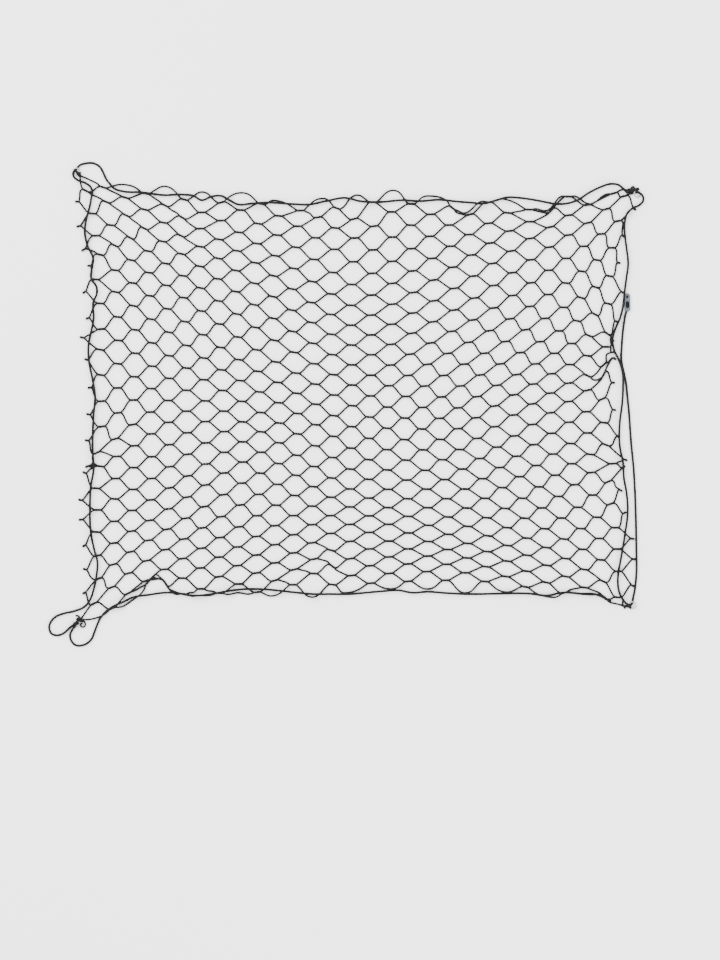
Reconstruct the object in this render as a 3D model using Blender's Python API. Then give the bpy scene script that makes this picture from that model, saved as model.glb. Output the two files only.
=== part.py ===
"""Divider net: a knotless twisted-twine net with an edge cord, four corner rings and a cord lock.

The net lies spread out on a flat surface. Sizes are in millimetres and become metres where an
object is made. X runs across the net, Y up it, and Z off the surface that it lies on.
"""

from math import atan2, ceil, cos, hypot, pi, radians, sin

import bmesh
import bpy
import numpy as np
from mathutils import Euler, Matrix, Vector

# Driving dimensions, in mm
MM = 0.001
TWINE = 2.8               # one strand of the mesh
TWIST_WIDTH = 4.4         # two strands twisted together
TWIST_LENGTH = 27.0       # a twist of the wide mesh that is cut here
NET_THICKNESS = 2.6
STUB_LENGTH = 9.0         # cut ends of the twists at both sides
CORD = 4.0                # the limp rope that runs round the edge
GAP = 0.35                # between pieces that touch
WIRE = 2.2                # the corner rings
RING_OUTSIDE = 17.0
YARN = 1.7                # the black yarn that lashes the corners
LOCK_LENGTH = 40.0
LOCK_WIDTH = 13.0
LOCK_THICKNESS = 6.0

RING_RADIUS = (RING_OUTSIDE - WIRE) / 2
ON_FLOOR = CORD / 2 + 0.15
ON_NET = NET_THICKNESS + GAP + CORD / 2

# The mesh grid: upright lines of meshes counted from the middle, rows counted down the net
SIDE_LINE = 9             # the outermost line of meshes; 19 lines in all
END_ROW = 13              # the row of the top and bottom arcs
LINE_STEP = 15 / 10       # lines of the real mesh in one line here
ROW_STEP = 19 / 12
MIDDLE_ROW = 1

# Seven upright lines of the real mesh, and the net's sections from its top edge to its bottom
# edge. "across" and "up" say where each line lies in that section. The outermost two are the
# tips of the cut ends.
LINES = (-15, -12, -6, 0, 6, 12, 15)
SECTIONS = (
    {"row": -18, "across": (-595, -495, -245, -5, 240, 500, 590),
     "up": (475, 445, 415, 415, 420, 445, 440)},
    {"row": -15, "across": (-605, -500, -255, -5, 240, 495, 590),
     "up": (390, 390, 355, 345, 350, 375, 375)},
    {"row": -12, "across": (-590, -485, -260, -10, 250, 485, 570),
     "up": (320, 320, 295, 265, 285, 300, 290)},
    {"row": -8, "across": (-585, -480, -260, -15, 255, 480, 565),
     "up": (225, 220, 205, 175, 190, 190, 160)},
    {"row": -4, "across": (-590, -475, -255, -10, 235, 460, 550),
     "up": (130, 120, 105, 90, 95, 95, 115)},
    {"row": 2, "across": (-580, -480, -245, -10, 215, 455, 565),
     "up": (-35, -30, -30, -40, -45, -30, -30)},
    {"row": 8, "across": (-595, -480, -245, -15, 230, 465, 575),
     "up": (-165, -175, -160, -175, -175, -165, -160)},
    {"row": 14, "across": (-590, -485, -255, -15, 240, 485, 593),
     "up": (-320, -310, -300, -290, -295, -305, -300)},
    {"row": 20, "across": (-595, -495, -255, -10, 230, 490, 580),
     "up": (-475, -440, -420, -400, -390, -430, -450)},
)
# How far each loose arc of the two selvedges stands out, from left to right, in mm
TOP_ARCS = (13, 20, 12, 9, 13, 10, 5, -6)
BOTTOM_ARCS = (6, -3, -5, -15, -23, -22, -21, -5)

# The corner rings: centre, how far each leans, towards which side its high edge lies, and how
# far the yarn under it lifts it. "lashed" is the lashing's place, in degrees from the high edge.
RINGS = {
    "top_left": {"x": -602, "y": 486, "lean": 21, "towards": 62, "lift": 0, "lashed": -98},
    "top_right": {"x": 603, "y": 438, "lean": 21, "towards": 170, "lift": 0, "lashed": -63},
    "bottom_right": {"x": 593, "y": -446, "lean": 18, "towards": 55, "lift": 1.2, "lashed": 163},
    "bottom_left": {"x": -604, "y": -487, "lean": 74, "towards": 42, "lift": 0, "lashed": 0},
}
# The knots of the lashings: centre, half-length, half-width, half-height and direction
KNOTS = {
    "top_left": {"x": -594.5, "y": 477, "long": 6.0, "wide": 3.6, "high": 3.2, "turn": -60},
    "top_right": {"x": 588.5, "y": 447.5, "long": 5.5, "wide": 3.6, "high": 3.2, "turn": 20},
    "bottom_right": {"x": 580, "y": -452, "long": 5.5, "wide": 3.4, "high": 3.2, "turn": 10},
    "bottom_left": {"x": -594, "y": -478, "long": 5.5, "wide": 3.4, "high": 3.4, "turn": 42},
}
# Loose yarn ends of the lashings, as offsets from the knot's centre across and up, and height
TAILS = {
    "top_left": (((0, 0, 3), (1.5, -6, 2.2), (0.5, -10, 1.0)),),
    "top_right": (((0, 0, 3), (3.5, 5.5, 2.6), (4.2, 9.5, 1.1)),),
    "bottom_right": (),
    "bottom_left": (
        ((0, 0, 3), (-2, 5, 2.4), (-7.5, 8.5, 1.0)),
        ((0, 0, 3), (7, -4, 2.2), (11.5, -8, 1.1), (9, -13, 1.0), (5, -12, 1.0), (5, -8.5, 1.0)),
    ),
}

# The edge cord's route, stretch by stretch: across, up and the height of its middle. A stretch
# goes on from the last point of the one before it in its cord.
NET = ON_NET
FLAT = ON_FLOOR
CORD_ROUTE = {
    "cord_right_outer": (
        (580.5, 184.3, 3.0), (579, 175, FLAT), (575.5, 160, FLAT), (572, 139, FLAT),
        (572, 109, FLAT), (574, 83, FLAT), (579, 51, FLAT), (583, 14, FLAT), (587, -23, FLAT),
        (590, -100, FLAT), (595, -151, FLAT), (598, -203, FLAT), (600, -263, FLAT),
        (601, -323, FLAT), (601, -381, FLAT), (598, -410, FLAT), (595.5, -424, FLAT),
    ),
    "cord_right_inner": (
        (593.7, -432, FLAT), (592.8, -438.6, 2.3), (591, -443.9, 4.2), (588, -445.8, 6.8),
        (584.8, -445.8, 7.9), (580, -443, 7.3), (572, -434, 5.4), (565, -421, NET),
        (561, -400, NET), (562, -376, NET), (567, -349, NET), (576, -295, NET),
        (582, -248, NET), (580, -207, NET), (574, -173, NET), (572, -140, NET), (565, -104, NET),
        (565, -54, NET), (570, -14, NET), (572, 21, NET), (571, 54, NET), (563, 81, NET),
        (553, 102, NET), (549, 124, NET), (554, 148, NET), (563, 172, NET), (569.5, 200, NET),
        (573, 223, NET), (578, 255, NET), (582, 292, NET), (578, 335, NET), (576, 378, NET),
        (581, 396, NET), (593, 407, 4.0),
    ),
    "cord_top": (
        (606, 413, 3.2), (614.5, 421, 3.2), (615.8, 430, 3.8), (610.8, 437.6, 5.1),
        (604, 440.6, 4.1), (596, 440.4, 2.4), (589, 438, 4.0), (582, 439.8, 5.1),
        (575, 446.5, NET), (562, 457, NET), (546, 459, NET), (523, 452, NET), (499, 440, NET),
        (474, 424, NET), (452, 417, NET), (428, 416, NET), (405, 420, NET), (379, 425, NET),
        (349, 429, NET), (323, 430, NET), (297, 423, NET), (274, 417, NET), (244, 419, NET),
        (216, 421, NET), (179, 425, NET), (136, 422, NET), (100, 424, NET), (48, 420, NET),
        (7, 422, NET), (-25, 429, NET), (-62, 423, NET), (-100, 415, NET), (-143, 416, NET),
        (-191, 419, NET), (-225, 417, NET), (-255, 415, NET), (-275, 425, NET),
        (-290, 433, NET), (-311, 432, NET), (-333, 424, NET), (-352, 434, NET),
        (-373, 436, NET), (-416, 435, NET), (-462, 441, NET), (-502, 443, NET),
        (-522, 450, 5.2), (-530, 459, 5.4), (-538, 469, 3.4), (-544, 482, FLAT), (-553, 497, FLAT),
        (-567, 504, FLAT), (-582, 503.5, FLAT),
    ),
    "cord_left": (
        (-594, 500, FLAT), (-601, 493.4, 2.3), (-605, 488, 4.0), (-609, 483, 6.0),
        (-608.5, 476, 5.6), (-599, 467, NET), (-583, 461, NET), (-572, 453, NET),
        (-568, 443, NET), (-570, 429, NET), (-574, 408, NET), (-581, 382, NET),
        (-584, 353, NET), (-578, 326, NET), (-566, 298, NET), (-569, 275, NET),
        (-570, 255, NET), (-559, 238, NET), (-558, 225, NET), (-566, 204, NET),
        (-565, 171, NET), (-570, 143, NET), (-576, 113, NET), (-575, 77, NET),
        (-568, 42, NET), (-562, 4, NET), (-565, -35, NET), (-567, -78, NET), (-567, -118, NET),
        (-565, -154, NET), (-571, -190, NET), (-573, -235, NET), (-571, -290, NET),
        (-564, -326, NET), (-557, -353, NET), (-559, -383, NET), (-566, -416, NET),
        (-573, -435, NET), (-586, -450, 3.6), (-608, -459, FLAT), (-630, -464, FLAT),
        (-647, -471, FLAT), (-658, -483, FLAT), (-661, -495, FLAT), (-656, -507, FLAT),
        (-644, -511, FLAT), (-631, -507, FLAT), (-617, -494.7, 4.4), (-606.6, -486.3, 6.3),
        (-599.8, -480.1, 5.4),
    ),
    "cord_bottom": (
        (-596.8, -483.3, 5.4), (-603.6, -489.6, 6.3), (-611, -499, 4.0), (-616, -510, FLAT),
        (-613, -523, FLAT), (-604, -532, FLAT), (-594, -533, FLAT), (-581, -529, FLAT),
        (-570, -519, FLAT), (-564, -505, FLAT), (-558, -489, FLAT), (-551, -474, 3.6),
        (-538, -459, NET), (-522, -448, NET), (-502, -439, NET), (-481, -429, NET),
        (-449, -424, NET), (-412, -419, NET), (-384, -420, NET), (-358, -425, NET),
        (-318, -423, NET), (-285, -417, NET), (-250, -412, NET), (-217, -411, NET),
        (-182, -413, NET), (-137, -418, NET), (-92, -422, NET), (-53, -422, NET),
        (-14, -422, NET), (20, -419, NET), (54, -416, NET), (90, -414, NET), (119, -419, NET),
        (153, -417, NET), (194, -420, NET), (244, -422, NET), (308, -421, NET),
        (370, -421, NET), (409, -425, NET), (441, -419, NET), (483, -421, NET),
        (510, -422, NET), (525, -427, NET), (539, -435, NET),
    ),
}
CORDS = (("cord_right_outer", "cord_right_inner", "cord_top", "cord_left"), ("cord_bottom",))
MOST_CORD_POINTS = 74
CORD_POINT_STEP = 3 * CORD
CORD_POINT_TURN = 25      # degrees of bend for each point
END_LENGTH = 1.0          # straight at each end of a stretch, so that the end faces are square
END_GAP = 0.45            # between the end faces of two stretches
EDGE_KNOT = {"x": 543.0, "y": -437.3, "long": 4.4, "wide": 3.4, "high": 2.6}

LOCK = {"x": 581.5, "y": 204.5, "turn": 1.5}
LOCK_WINDOWS = ({"along": 12.0, "long": 5.0, "wide": 3.6}, {"along": -6.0, "long": 13.0, "wide": 5.6})
WINDOW_DEPTH = 2.4


def clear_scene():
    for item in list(bpy.data.objects):
        bpy.data.objects.remove(item, do_unlink=True)


def make_collection(name, is_guide=False):
    group = bpy.data.collections.new(name)
    bpy.context.scene.collection.children.link(group)
    group.hide_render = is_guide
    return group


def make_material(name, colour, roughness, metallic=0.0):
    material = bpy.data.materials.new(name)
    material.use_nodes = True
    shader = material.node_tree.nodes["Principled BSDF"]
    shader.inputs["Base Color"].default_value = (*colour, 1.0)
    shader.inputs["Roughness"].default_value = roughness
    shader.inputs["Metallic"].default_value = metallic
    material.diffuse_color = (*colour, 1.0)
    return material


def smooth_value(knots, values, at):
    """Value at a place on the smooth line through values at uneven knots, straight past its ends."""
    values = np.asarray(values, float)
    slopes = np.gradient(values, knots, axis=0)
    first = int(np.clip(np.searchsorted(knots, at) - 1, 0, len(knots) - 2))
    step = knots[first + 1] - knots[first]
    t = (at - knots[first]) / step
    if t < 0:
        return values[first] + slopes[first] * t * step
    if t > 1:
        return values[first + 1] + slopes[first + 1] * (t - 1) * step
    rise = 3 * t * t - 2 * t ** 3
    lead_in = t ** 3 - 2 * t * t + t
    lead_out = t ** 3 - t * t
    return (values[first] * (1 - rise) + values[first + 1] * rise
            + step * (slopes[first] * lead_in + slopes[first + 1] * lead_out))


def net_point(line, row):
    """Where a place of the mesh, counted in real lines and rows, lies on the surface."""
    places = []
    for section in SECTIONS:
        table = np.column_stack((section["across"], section["up"]))
        places.append(smooth_value(LINES, table, line))
    return smooth_value([section["row"] for section in SECTIONS], places, row)


def twist_centre(line, row):
    """Centre of the twist at a place of the mesh grid, or the tip of the cut end at a side."""
    if abs(line) > SIDE_LINE and abs(row) == END_ROW - 1:
        return corner_tip(line, row)
    return net_point(line * LINE_STEP, MIDDLE_ROW + row * ROW_STEP)


def unit(vector):
    return vector / max(hypot(*vector), 1e-9)


def twist_direction(line, row):
    """Direction of a twist: its four strands pull it, and the longer a strand spans the harder."""
    centre = twist_centre(line, row)
    pull = np.zeros(2)
    for side in (-1, 1):
        for level in (-1, 1):
            if abs(row + level) < END_ROW:
                strand = twist_centre(line + side, row + level) - centre
                pull += side * unit(strand) * (hypot(*strand) / 60.0) ** 4
    return unit(pull)


def twist_ends(line, row):
    """Left and right end of a twist. A cut end at the side has only the end towards the net."""
    centre = twist_centre(line, row)
    if abs(line) > SIDE_LINE:
        inner = twist_centre(SIDE_LINE - 1 if line > 0 else 1 - SIDE_LINE, row)
        node = centre + unit(inner - centre) * STUB_LENGTH
        return node, node
    half = twist_direction(line, row) * TWIST_LENGTH / 2
    return centre - half, centre + half


def arc_points(line, row):
    """The loose selvedge arc over (row -13) or under (row 13) the outermost mesh of a line."""
    if abs(line) == SIDE_LINE:
        return []
    inner_row = row - (1 if row > 0 else -1)
    start = twist_ends(line - 1, inner_row)[1]
    end = twist_ends(line + 1, inner_row)[0]
    stand_out = (TOP_ARCS if row < 0 else BOTTOM_ARCS)[(line + SIDE_LINE) // 2 - 1]
    points = []
    for share, rise in ((0.25, 0.7), (0.5, 1.0), (0.75, 0.7)):
        points.append(start + (end - start) * share + np.array([0.0, stand_out * rise]))
    return points


def corner_tip(line, row):
    """Where a corner of the net ends, just clear of the knot of its lashing."""
    knot = KNOTS[("top" if row < 0 else "bottom") + ("_left" if line < 0 else "_right")]
    centre = np.array([knot["x"], knot["y"]])
    inner = net_point(line * LINE_STEP * 0.8, MIDDLE_ROW + row * ROW_STEP)
    inward = unit(inner - centre)
    turn = radians(knot["turn"])
    along = abs(inward @ np.array([cos(turn), sin(turn)]))
    reach = hypot(knot["long"] * along, knot["wide"] * (1 - along ** 2) ** 0.5)
    return centre + inward * (reach + GAP)


def beside(start, end, width):
    """The stretch from start to end moved to its left by width."""
    along = unit(end - start)
    shift = np.array([-along[1], along[0]]) * width
    return start + shift, end + shift


def meeting_point(first, second):
    """Where two neighbouring stretches meet. Nearly straight ones meet halfway between them."""
    along_first = unit(first[1] - first[0])
    along_second = unit(second[1] - second[0])
    turn = along_first[0] * along_second[1] - along_first[1] * along_second[0]
    if abs(turn) < 0.3:
        return (first[1] + second[0]) / 2
    apart = second[0] - first[0]
    reach = (apart[0] * along_second[1] - apart[1] * along_second[0]) / turn
    return first[0] + along_first * reach


def corners_of(stretches):
    """Corners of the closed loop that the stretches make."""
    return [meeting_point(stretches[i - 1], stretches[i]) for i in range(len(stretches))]


def run(points, widths, side):
    """Stretches along points, moved to the left (side 1) or right (side -1) by half their width."""
    return [beside(points[i], points[i + 1], side * widths[i] / 2) for i in range(len(widths))]


def mesh_gap(line, row):
    """Corners of one gap of the net."""
    left = twist_ends(line - 1, row)[1]
    right = twist_ends(line + 1, row)[0]
    over = list(twist_ends(line, row - 1))
    under = list(twist_ends(line, row + 1))[::-1]
    over_widths = [TWINE, TWIST_WIDTH, TWINE]
    under_widths = [TWINE, TWIST_WIDTH, TWINE]
    if row - 1 == -END_ROW:
        over = arc_points(line, row - 1)
        over_widths = [TWINE] * (len(over) + 1)
    if row + 1 == END_ROW:
        under = arc_points(line, row + 1)[::-1]
        under_widths = [TWINE] * (len(under) + 1)
    return corners_of(run([left, *over, right, *under, left], over_widths + under_widths, -1))


def net_outline():
    """Corners of the net's outer edge, clockwise from the top left corner."""
    stretches = []
    cuts = range(1 - END_ROW, END_ROW, 2)
    lines = range(-SIDE_LINE, SIDE_LINE + 1, 2)

    def follow(points, width=TWINE):
        stretches.extend(run(points, [width] * (len(points) - 1), 1))

    def cut_end(side, row):
        """A cut twist that stands out to the side, or the corner's end at its lashing."""
        base = twist_ends(side * (SIDE_LINE + 1), row)[0]
        tip = twist_centre(side * (SIDE_LINE + 1), row)
        outward = unit(tip - base)
        across = np.array([-outward[1], outward[0]]) * TWIST_WIDTH / 2
        stretches.append(beside(base, tip, TWIST_WIDTH / 2))
        stretches.append((tip + across, tip - across))
        stretches.append(beside(tip, base, TWIST_WIDTH / 2))

    for line in lines:
        follow([twist_ends(line - 1, cuts[0])[1], *arc_points(line, -END_ROW),
                twist_ends(line + 1, cuts[0])[0]])
        if line < SIDE_LINE:
            follow(twist_ends(line + 1, cuts[0]), TWIST_WIDTH)
    for row in cuts:
        cut_end(1, row)
        if row < cuts[-1]:
            follow([twist_ends(SIDE_LINE + 1, row)[0], twist_ends(SIDE_LINE, row + 1)[1],
                    twist_ends(SIDE_LINE + 1, row + 2)[0]])
    for line in reversed(lines):
        follow([twist_ends(line + 1, cuts[-1])[0], *arc_points(line, END_ROW)[::-1],
                twist_ends(line - 1, cuts[-1])[1]])
        if line > -SIDE_LINE:
            follow(twist_ends(line - 1, cuts[-1])[::-1], TWIST_WIDTH)
    for row in reversed(cuts):
        cut_end(-1, row)
        if row > cuts[0]:
            follow([twist_ends(-SIDE_LINE - 1, row)[1], twist_ends(-SIDE_LINE, row - 1)[0],
                    twist_ends(-SIDE_LINE - 1, row - 2)[1]])
    return corners_of(stretches)


def make_net(group, material):
    """The net: one flat sheet of bars, cut through at each gap."""
    outline = bpy.data.curves.new("net", "CURVE")
    outline.dimensions = "2D"
    outline.fill_mode = "BOTH"
    outline.extrude = NET_THICKNESS / 2 * MM
    loops = [net_outline()]
    for line in range(-SIDE_LINE, SIDE_LINE + 1):
        for row in range(1 - END_ROW, END_ROW):
            if (line + row) % 2:
                loops.append(mesh_gap(line, row))
    for loop in loops:
        spline = outline.splines.new("POLY")
        spline.points.add(len(loop) - 1)
        spline.use_cyclic_u = True
        for point, (x, y) in zip(spline.points, loop):
            point.co = (x * MM, y * MM, 0, 1)
    net = bpy.data.objects.new("net", outline)
    net.location.z = NET_THICKNESS / 2 * MM
    outline.materials.append(material)
    group.objects.link(net)
    return net


def stretch_points(route, reach, start, end):
    """Points of one stretch, from start to end along the smooth curve through a cord's route.

    They lie closer where the cord bends.
    """
    places = np.linspace(start, end, ceil(end - start) + 1)
    points = np.array([smooth_value(reach, route, place) for place in places])
    steps = np.diff(points, axis=0)
    lengths = np.linalg.norm(steps, axis=1)
    ahead = steps / lengths[:, None]
    bends = np.degrees(np.arccos(np.clip(np.sum(ahead[1:] * ahead[:-1], axis=1), -1, 1)))
    share = lengths / CORD_POINT_STEP + np.append(0, bends) / CORD_POINT_TURN
    share = np.append(0, np.cumsum(share))
    count = min(MOST_CORD_POINTS, ceil(share[-1]) + 1)
    chosen = np.interp(np.linspace(0, share[-1], count), share, places)
    inner = chosen[(chosen > start + 2 * END_LENGTH) & (chosen < end - 2 * END_LENGTH)]
    chosen = [start, start + END_LENGTH, *inner, end - END_LENGTH, end]
    points = np.array([smooth_value(reach, route, place) for place in chosen])
    points[:, 2] = np.maximum(points[:, 2], ON_FLOOR)
    return points


def make_tube(name, points, radius, group, material, resolution=2):
    """A round tube with filled ends along points."""
    curve = bpy.data.curves.new(name, "CURVE")
    curve.dimensions = "3D"
    curve.bevel_depth = radius * MM
    curve.bevel_resolution = resolution
    curve.use_fill_caps = True
    spline = curve.splines.new("POLY")
    spline.points.add(len(points) - 1)
    for target, point in zip(spline.points, points):
        target.co = (*(Vector(point) * MM), 1)
    curve.materials.append(material)
    tube = bpy.data.objects.new(name, curve)
    group.objects.link(tube)
    return tube


def make_cords(group, material):
    """Each cord as stretches that end face to face, a small gap apart."""
    for names in CORDS:
        route = np.array([point for name in names for point in CORD_ROUTE[name]], float)
        reach = np.append(0, np.cumsum(np.linalg.norm(np.diff(route, axis=0), axis=1)))
        first = 0
        for name in names:
            last = first + len(CORD_ROUTE[name]) - (1 if first == 0 else 0)
            points = stretch_points(route, reach, reach[first] + END_GAP / 2,
                                    reach[last] - END_GAP / 2)
            make_tube(name, points, CORD / 2, group, material)
            first = last


def ring_frame(corner):
    """World matrix of a ring: its own Z is its axle, and its own X points to its high edge."""
    ring = RINGS[corner]
    lean = radians(ring["lean"])
    height = WIRE / 2 + RING_RADIUS * sin(lean) + ring["lift"]
    place = Matrix.Translation(Vector((ring["x"], ring["y"], height)) * MM)
    return place @ Euler((0, -lean, radians(ring["towards"])), "XYZ").to_matrix().to_4x4()


def make_rings(group, material):
    for corner in RINGS:
        bpy.ops.mesh.primitive_torus_add(
            major_segments=24, minor_segments=8,
            major_radius=RING_RADIUS * MM, minor_radius=WIRE / 2 * MM)
        ring = bpy.context.object
        ring.name = f"ring_{corner}"
        ring.data.name = ring.name
        turn_facets(ring.data)
        ring.matrix_world = ring_frame(corner)
        ring.data.materials.append(material)
        ring.data.shade_smooth()
        for owner in list(ring.users_collection):
            owner.objects.unlink(ring)
        group.objects.link(ring)


def turn_facets(mesh):
    """Turn the wire's section by half a facet, so that flats face along the ring's axle."""
    turn = pi / 8
    for vertex in mesh.vertices:
        around = atan2(vertex.co.y, vertex.co.x)
        out = hypot(vertex.co.x, vertex.co.y) - RING_RADIUS * MM
        height = vertex.co.z
        out_turned = out * cos(turn) - height * sin(turn)
        vertex.co.z = out * sin(turn) + height * cos(turn)
        vertex.co.x = (RING_RADIUS * MM + out_turned) * cos(around)
        vertex.co.y = (RING_RADIUS * MM + out_turned) * sin(around)


def as_mesh(item, group):
    """Swap a curve object for the closed mesh that it makes."""
    mesh = bpy.data.meshes.new_from_object(item.evaluated_get(bpy.context.evaluated_depsgraph_get()))
    work = bmesh.new()
    work.from_mesh(mesh)
    bmesh.ops.remove_doubles(work, verts=work.verts, dist=0.00001)
    work.to_mesh(mesh)
    work.free()
    solid = bpy.data.objects.new(item.name + "_solid", mesh)
    solid.matrix_world = item.matrix_world
    group.objects.link(solid)
    bpy.data.objects.remove(item, do_unlink=True)
    return solid


def add_boolean(target, tool, operation):
    modifier = target.modifiers.new(f"{operation.lower()}_{tool.name}", "BOOLEAN")
    modifier.operation = operation
    modifier.solver = "EXACT"
    modifier.object = tool
    tool.display_type = "WIRE"
    tool.hide_render = True


def ellipsoid(name, centre, halves, turn, group, segments=12, rings=8):
    mesh = bpy.data.meshes.new(name)
    work = bmesh.new()
    bmesh.ops.create_uvsphere(work, u_segments=segments, v_segments=rings, radius=MM)
    bmesh.ops.scale(work, vec=halves, verts=work.verts)
    work.to_mesh(mesh)
    work.free()
    solid = bpy.data.objects.new(name, mesh)
    solid.location = Vector(centre) * MM
    solid.rotation_euler.z = radians(turn)
    group.objects.link(solid)
    return solid


def ring_arc(corner, half_span, count):
    """Points along the middle of a ring's wire, on both sides of its lashing."""
    frame = ring_frame(corner)
    middle = RINGS[corner]["lashed"]
    points = []
    for angle in np.linspace(middle - half_span, middle + half_span, count):
        on_ring = Vector((cos(radians(angle)), sin(radians(angle)), 0)) * RING_RADIUS * MM
        points.append(frame @ on_ring / MM)
    return points


def make_lashings(group, guides, material):
    """Yarn wound round each ring, knotted to the net's corner, with its loose ends."""
    clear_of_wire = (WIRE / 2 + GAP) / cos(pi / 8)
    for corner, knot in KNOTS.items():
        name = f"lashing_{corner}"
        sleeve = as_mesh(make_tube(name, ring_arc(corner, 19, 5), WIRE / 2 + GAP + YARN / 2,
                                   group, material), group)
        sleeve.name = name
        wire = as_mesh(make_tube(f"{name}_wire", ring_arc(corner, 40, 9), clear_of_wire,
                                 guides, material), guides)
        centre = (knot["x"], knot["y"], knot["high"])
        body = ellipsoid(f"{name}_knot", centre, (knot["long"], knot["wide"], knot["high"]),
                         knot["turn"], guides)
        neck = make_tube(f"{name}_neck", (ring_arc(corner, 0, 1)[0], centre), YARN * 0.8,
                         guides, material)
        joined = [body, as_mesh(neck, guides)]
        for tail in TAILS[corner]:
            points = [Vector(centre) + Vector((x, y, z - knot["high"])) for x, y, z in tail]
            joined.append(as_mesh(make_tube(f"{name}_tail", points, YARN / 2, guides, material),
                                  guides))
        for tool in joined:
            add_boolean(sleeve, tool, "UNION")
        add_boolean(sleeve, wire, "DIFFERENCE")


def make_edge_knot(group, material):
    """The knot that ends the edge cord at the bottom right."""
    size = EDGE_KNOT
    knot = ellipsoid("cord_end_knot", (size["x"], size["y"], NET_THICKNESS + GAP + size["high"]),
                     (size["long"], size["wide"], size["high"]), -30, group)
    knot.data.materials.append(material)
    knot.data.shade_smooth()


def capsule(name, length, width, thickness, group):
    """A flat bar with round ends, along Y."""
    outline = bpy.data.curves.new(name, "CURVE")
    outline.dimensions = "2D"
    outline.fill_mode = "BOTH"
    outline.extrude = thickness / 2 * MM
    spline = outline.splines.new("POLY")
    corners = []
    for end in (1, -1):
        for step in range(9):
            angle = pi * step / 8 + (0 if end > 0 else pi)
            corners.append((cos(angle) * width / 2, sin(angle) * width / 2 + end * (length - width) / 2))
    spline.points.add(len(corners) - 1)
    spline.use_cyclic_u = True
    for point, (x, y) in zip(spline.points, corners):
        point.co = (x * MM, y * MM, 0, 1)
    bar = bpy.data.objects.new(name, outline)
    group.objects.link(bar)
    return bar


def make_lock(group, guides, material):
    """The cord lock: a flat bar with round ends and two windows in its upper face."""
    body = as_mesh(capsule("cord_lock", LOCK_LENGTH, LOCK_WIDTH, LOCK_THICKNESS, group), group)
    body.name = "cord_lock"
    place = Matrix.Translation(Vector((LOCK["x"], LOCK["y"], LOCK_THICKNESS / 2)) * MM)
    place = place @ Matrix.Rotation(radians(LOCK["turn"]), 4, "Z")
    body.matrix_world = place
    body.data.materials.append(material)
    for number, window in enumerate(LOCK_WINDOWS):
        tool = as_mesh(capsule(f"lock_window_{number}", window["long"], window["wide"],
                               WINDOW_DEPTH * 2, guides), guides)
        tool.matrix_world = place @ Matrix.Translation(
            Vector((0, window["along"], LOCK_THICKNESS / 2)) * MM)
        add_boolean(body, tool, "DIFFERENCE")


def main():
    clear_scene()
    parts = make_collection("divider_net")
    guides = make_collection("divider_net_guides", is_guide=True)
    twine = make_material("black_twine", (0.02, 0.02, 0.022), 0.8)
    rope = make_material("black_cord", (0.015, 0.015, 0.017), 0.7)
    yarn = make_material("black_yarn", (0.03, 0.03, 0.032), 0.85)
    nickel = make_material("nickel", (0.72, 0.71, 0.69), 0.2, 1.0)
    plastic = make_material("grey_plastic", (0.34, 0.39, 0.45), 0.25)
    make_net(parts, twine)
    make_cords(parts, rope)
    make_rings(parts, nickel)
    make_lashings(parts, guides, yarn)
    make_edge_knot(parts, rope)
    make_lock(parts, guides, plastic)


main()
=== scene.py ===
from math import ceil, cos, hypot, pi, radians, sin
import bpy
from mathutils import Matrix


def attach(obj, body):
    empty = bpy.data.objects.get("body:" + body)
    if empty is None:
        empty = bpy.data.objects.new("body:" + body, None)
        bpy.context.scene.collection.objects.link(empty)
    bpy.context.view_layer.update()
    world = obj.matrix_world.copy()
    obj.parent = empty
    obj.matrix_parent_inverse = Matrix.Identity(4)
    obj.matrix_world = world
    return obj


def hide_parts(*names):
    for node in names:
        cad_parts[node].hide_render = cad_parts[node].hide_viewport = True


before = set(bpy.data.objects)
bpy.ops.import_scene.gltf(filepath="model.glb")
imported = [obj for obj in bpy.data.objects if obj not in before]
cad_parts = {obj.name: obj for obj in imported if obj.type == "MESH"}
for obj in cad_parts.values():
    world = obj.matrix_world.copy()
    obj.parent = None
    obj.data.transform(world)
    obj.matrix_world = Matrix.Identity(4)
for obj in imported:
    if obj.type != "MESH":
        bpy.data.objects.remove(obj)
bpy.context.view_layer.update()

from types import SimpleNamespace

import bpy
import numpy as np
from bpy.props import FloatProperty, FloatVectorProperty, IntProperty, PointerProperty
from bpy.types import Operator, Panel, PropertyGroup
from mathutils import Euler, Matrix, Vector
from mathutils.geometry import tessellate_polygon

bl_info = {
    "name": "Divider net",
    "version": (1, 0, 0),
    "blender": (4, 5, 0),
    "location": "3D View > Sidebar > Divider net",
    "description": "Knotless mesh net with an edge cord, corner rings and a cord lock",
    "category": "Object",
}

MM = 0.001


def named_rows(columns, *rows):
    """Rows of a table, each a dictionary by the names of its columns."""
    return tuple(dict(zip(columns.split(), row)) for row in rows)


def at(height, *places):
    """Places of a route that lie at one height."""
    return [(x, y, height) for x, y in places]


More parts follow.
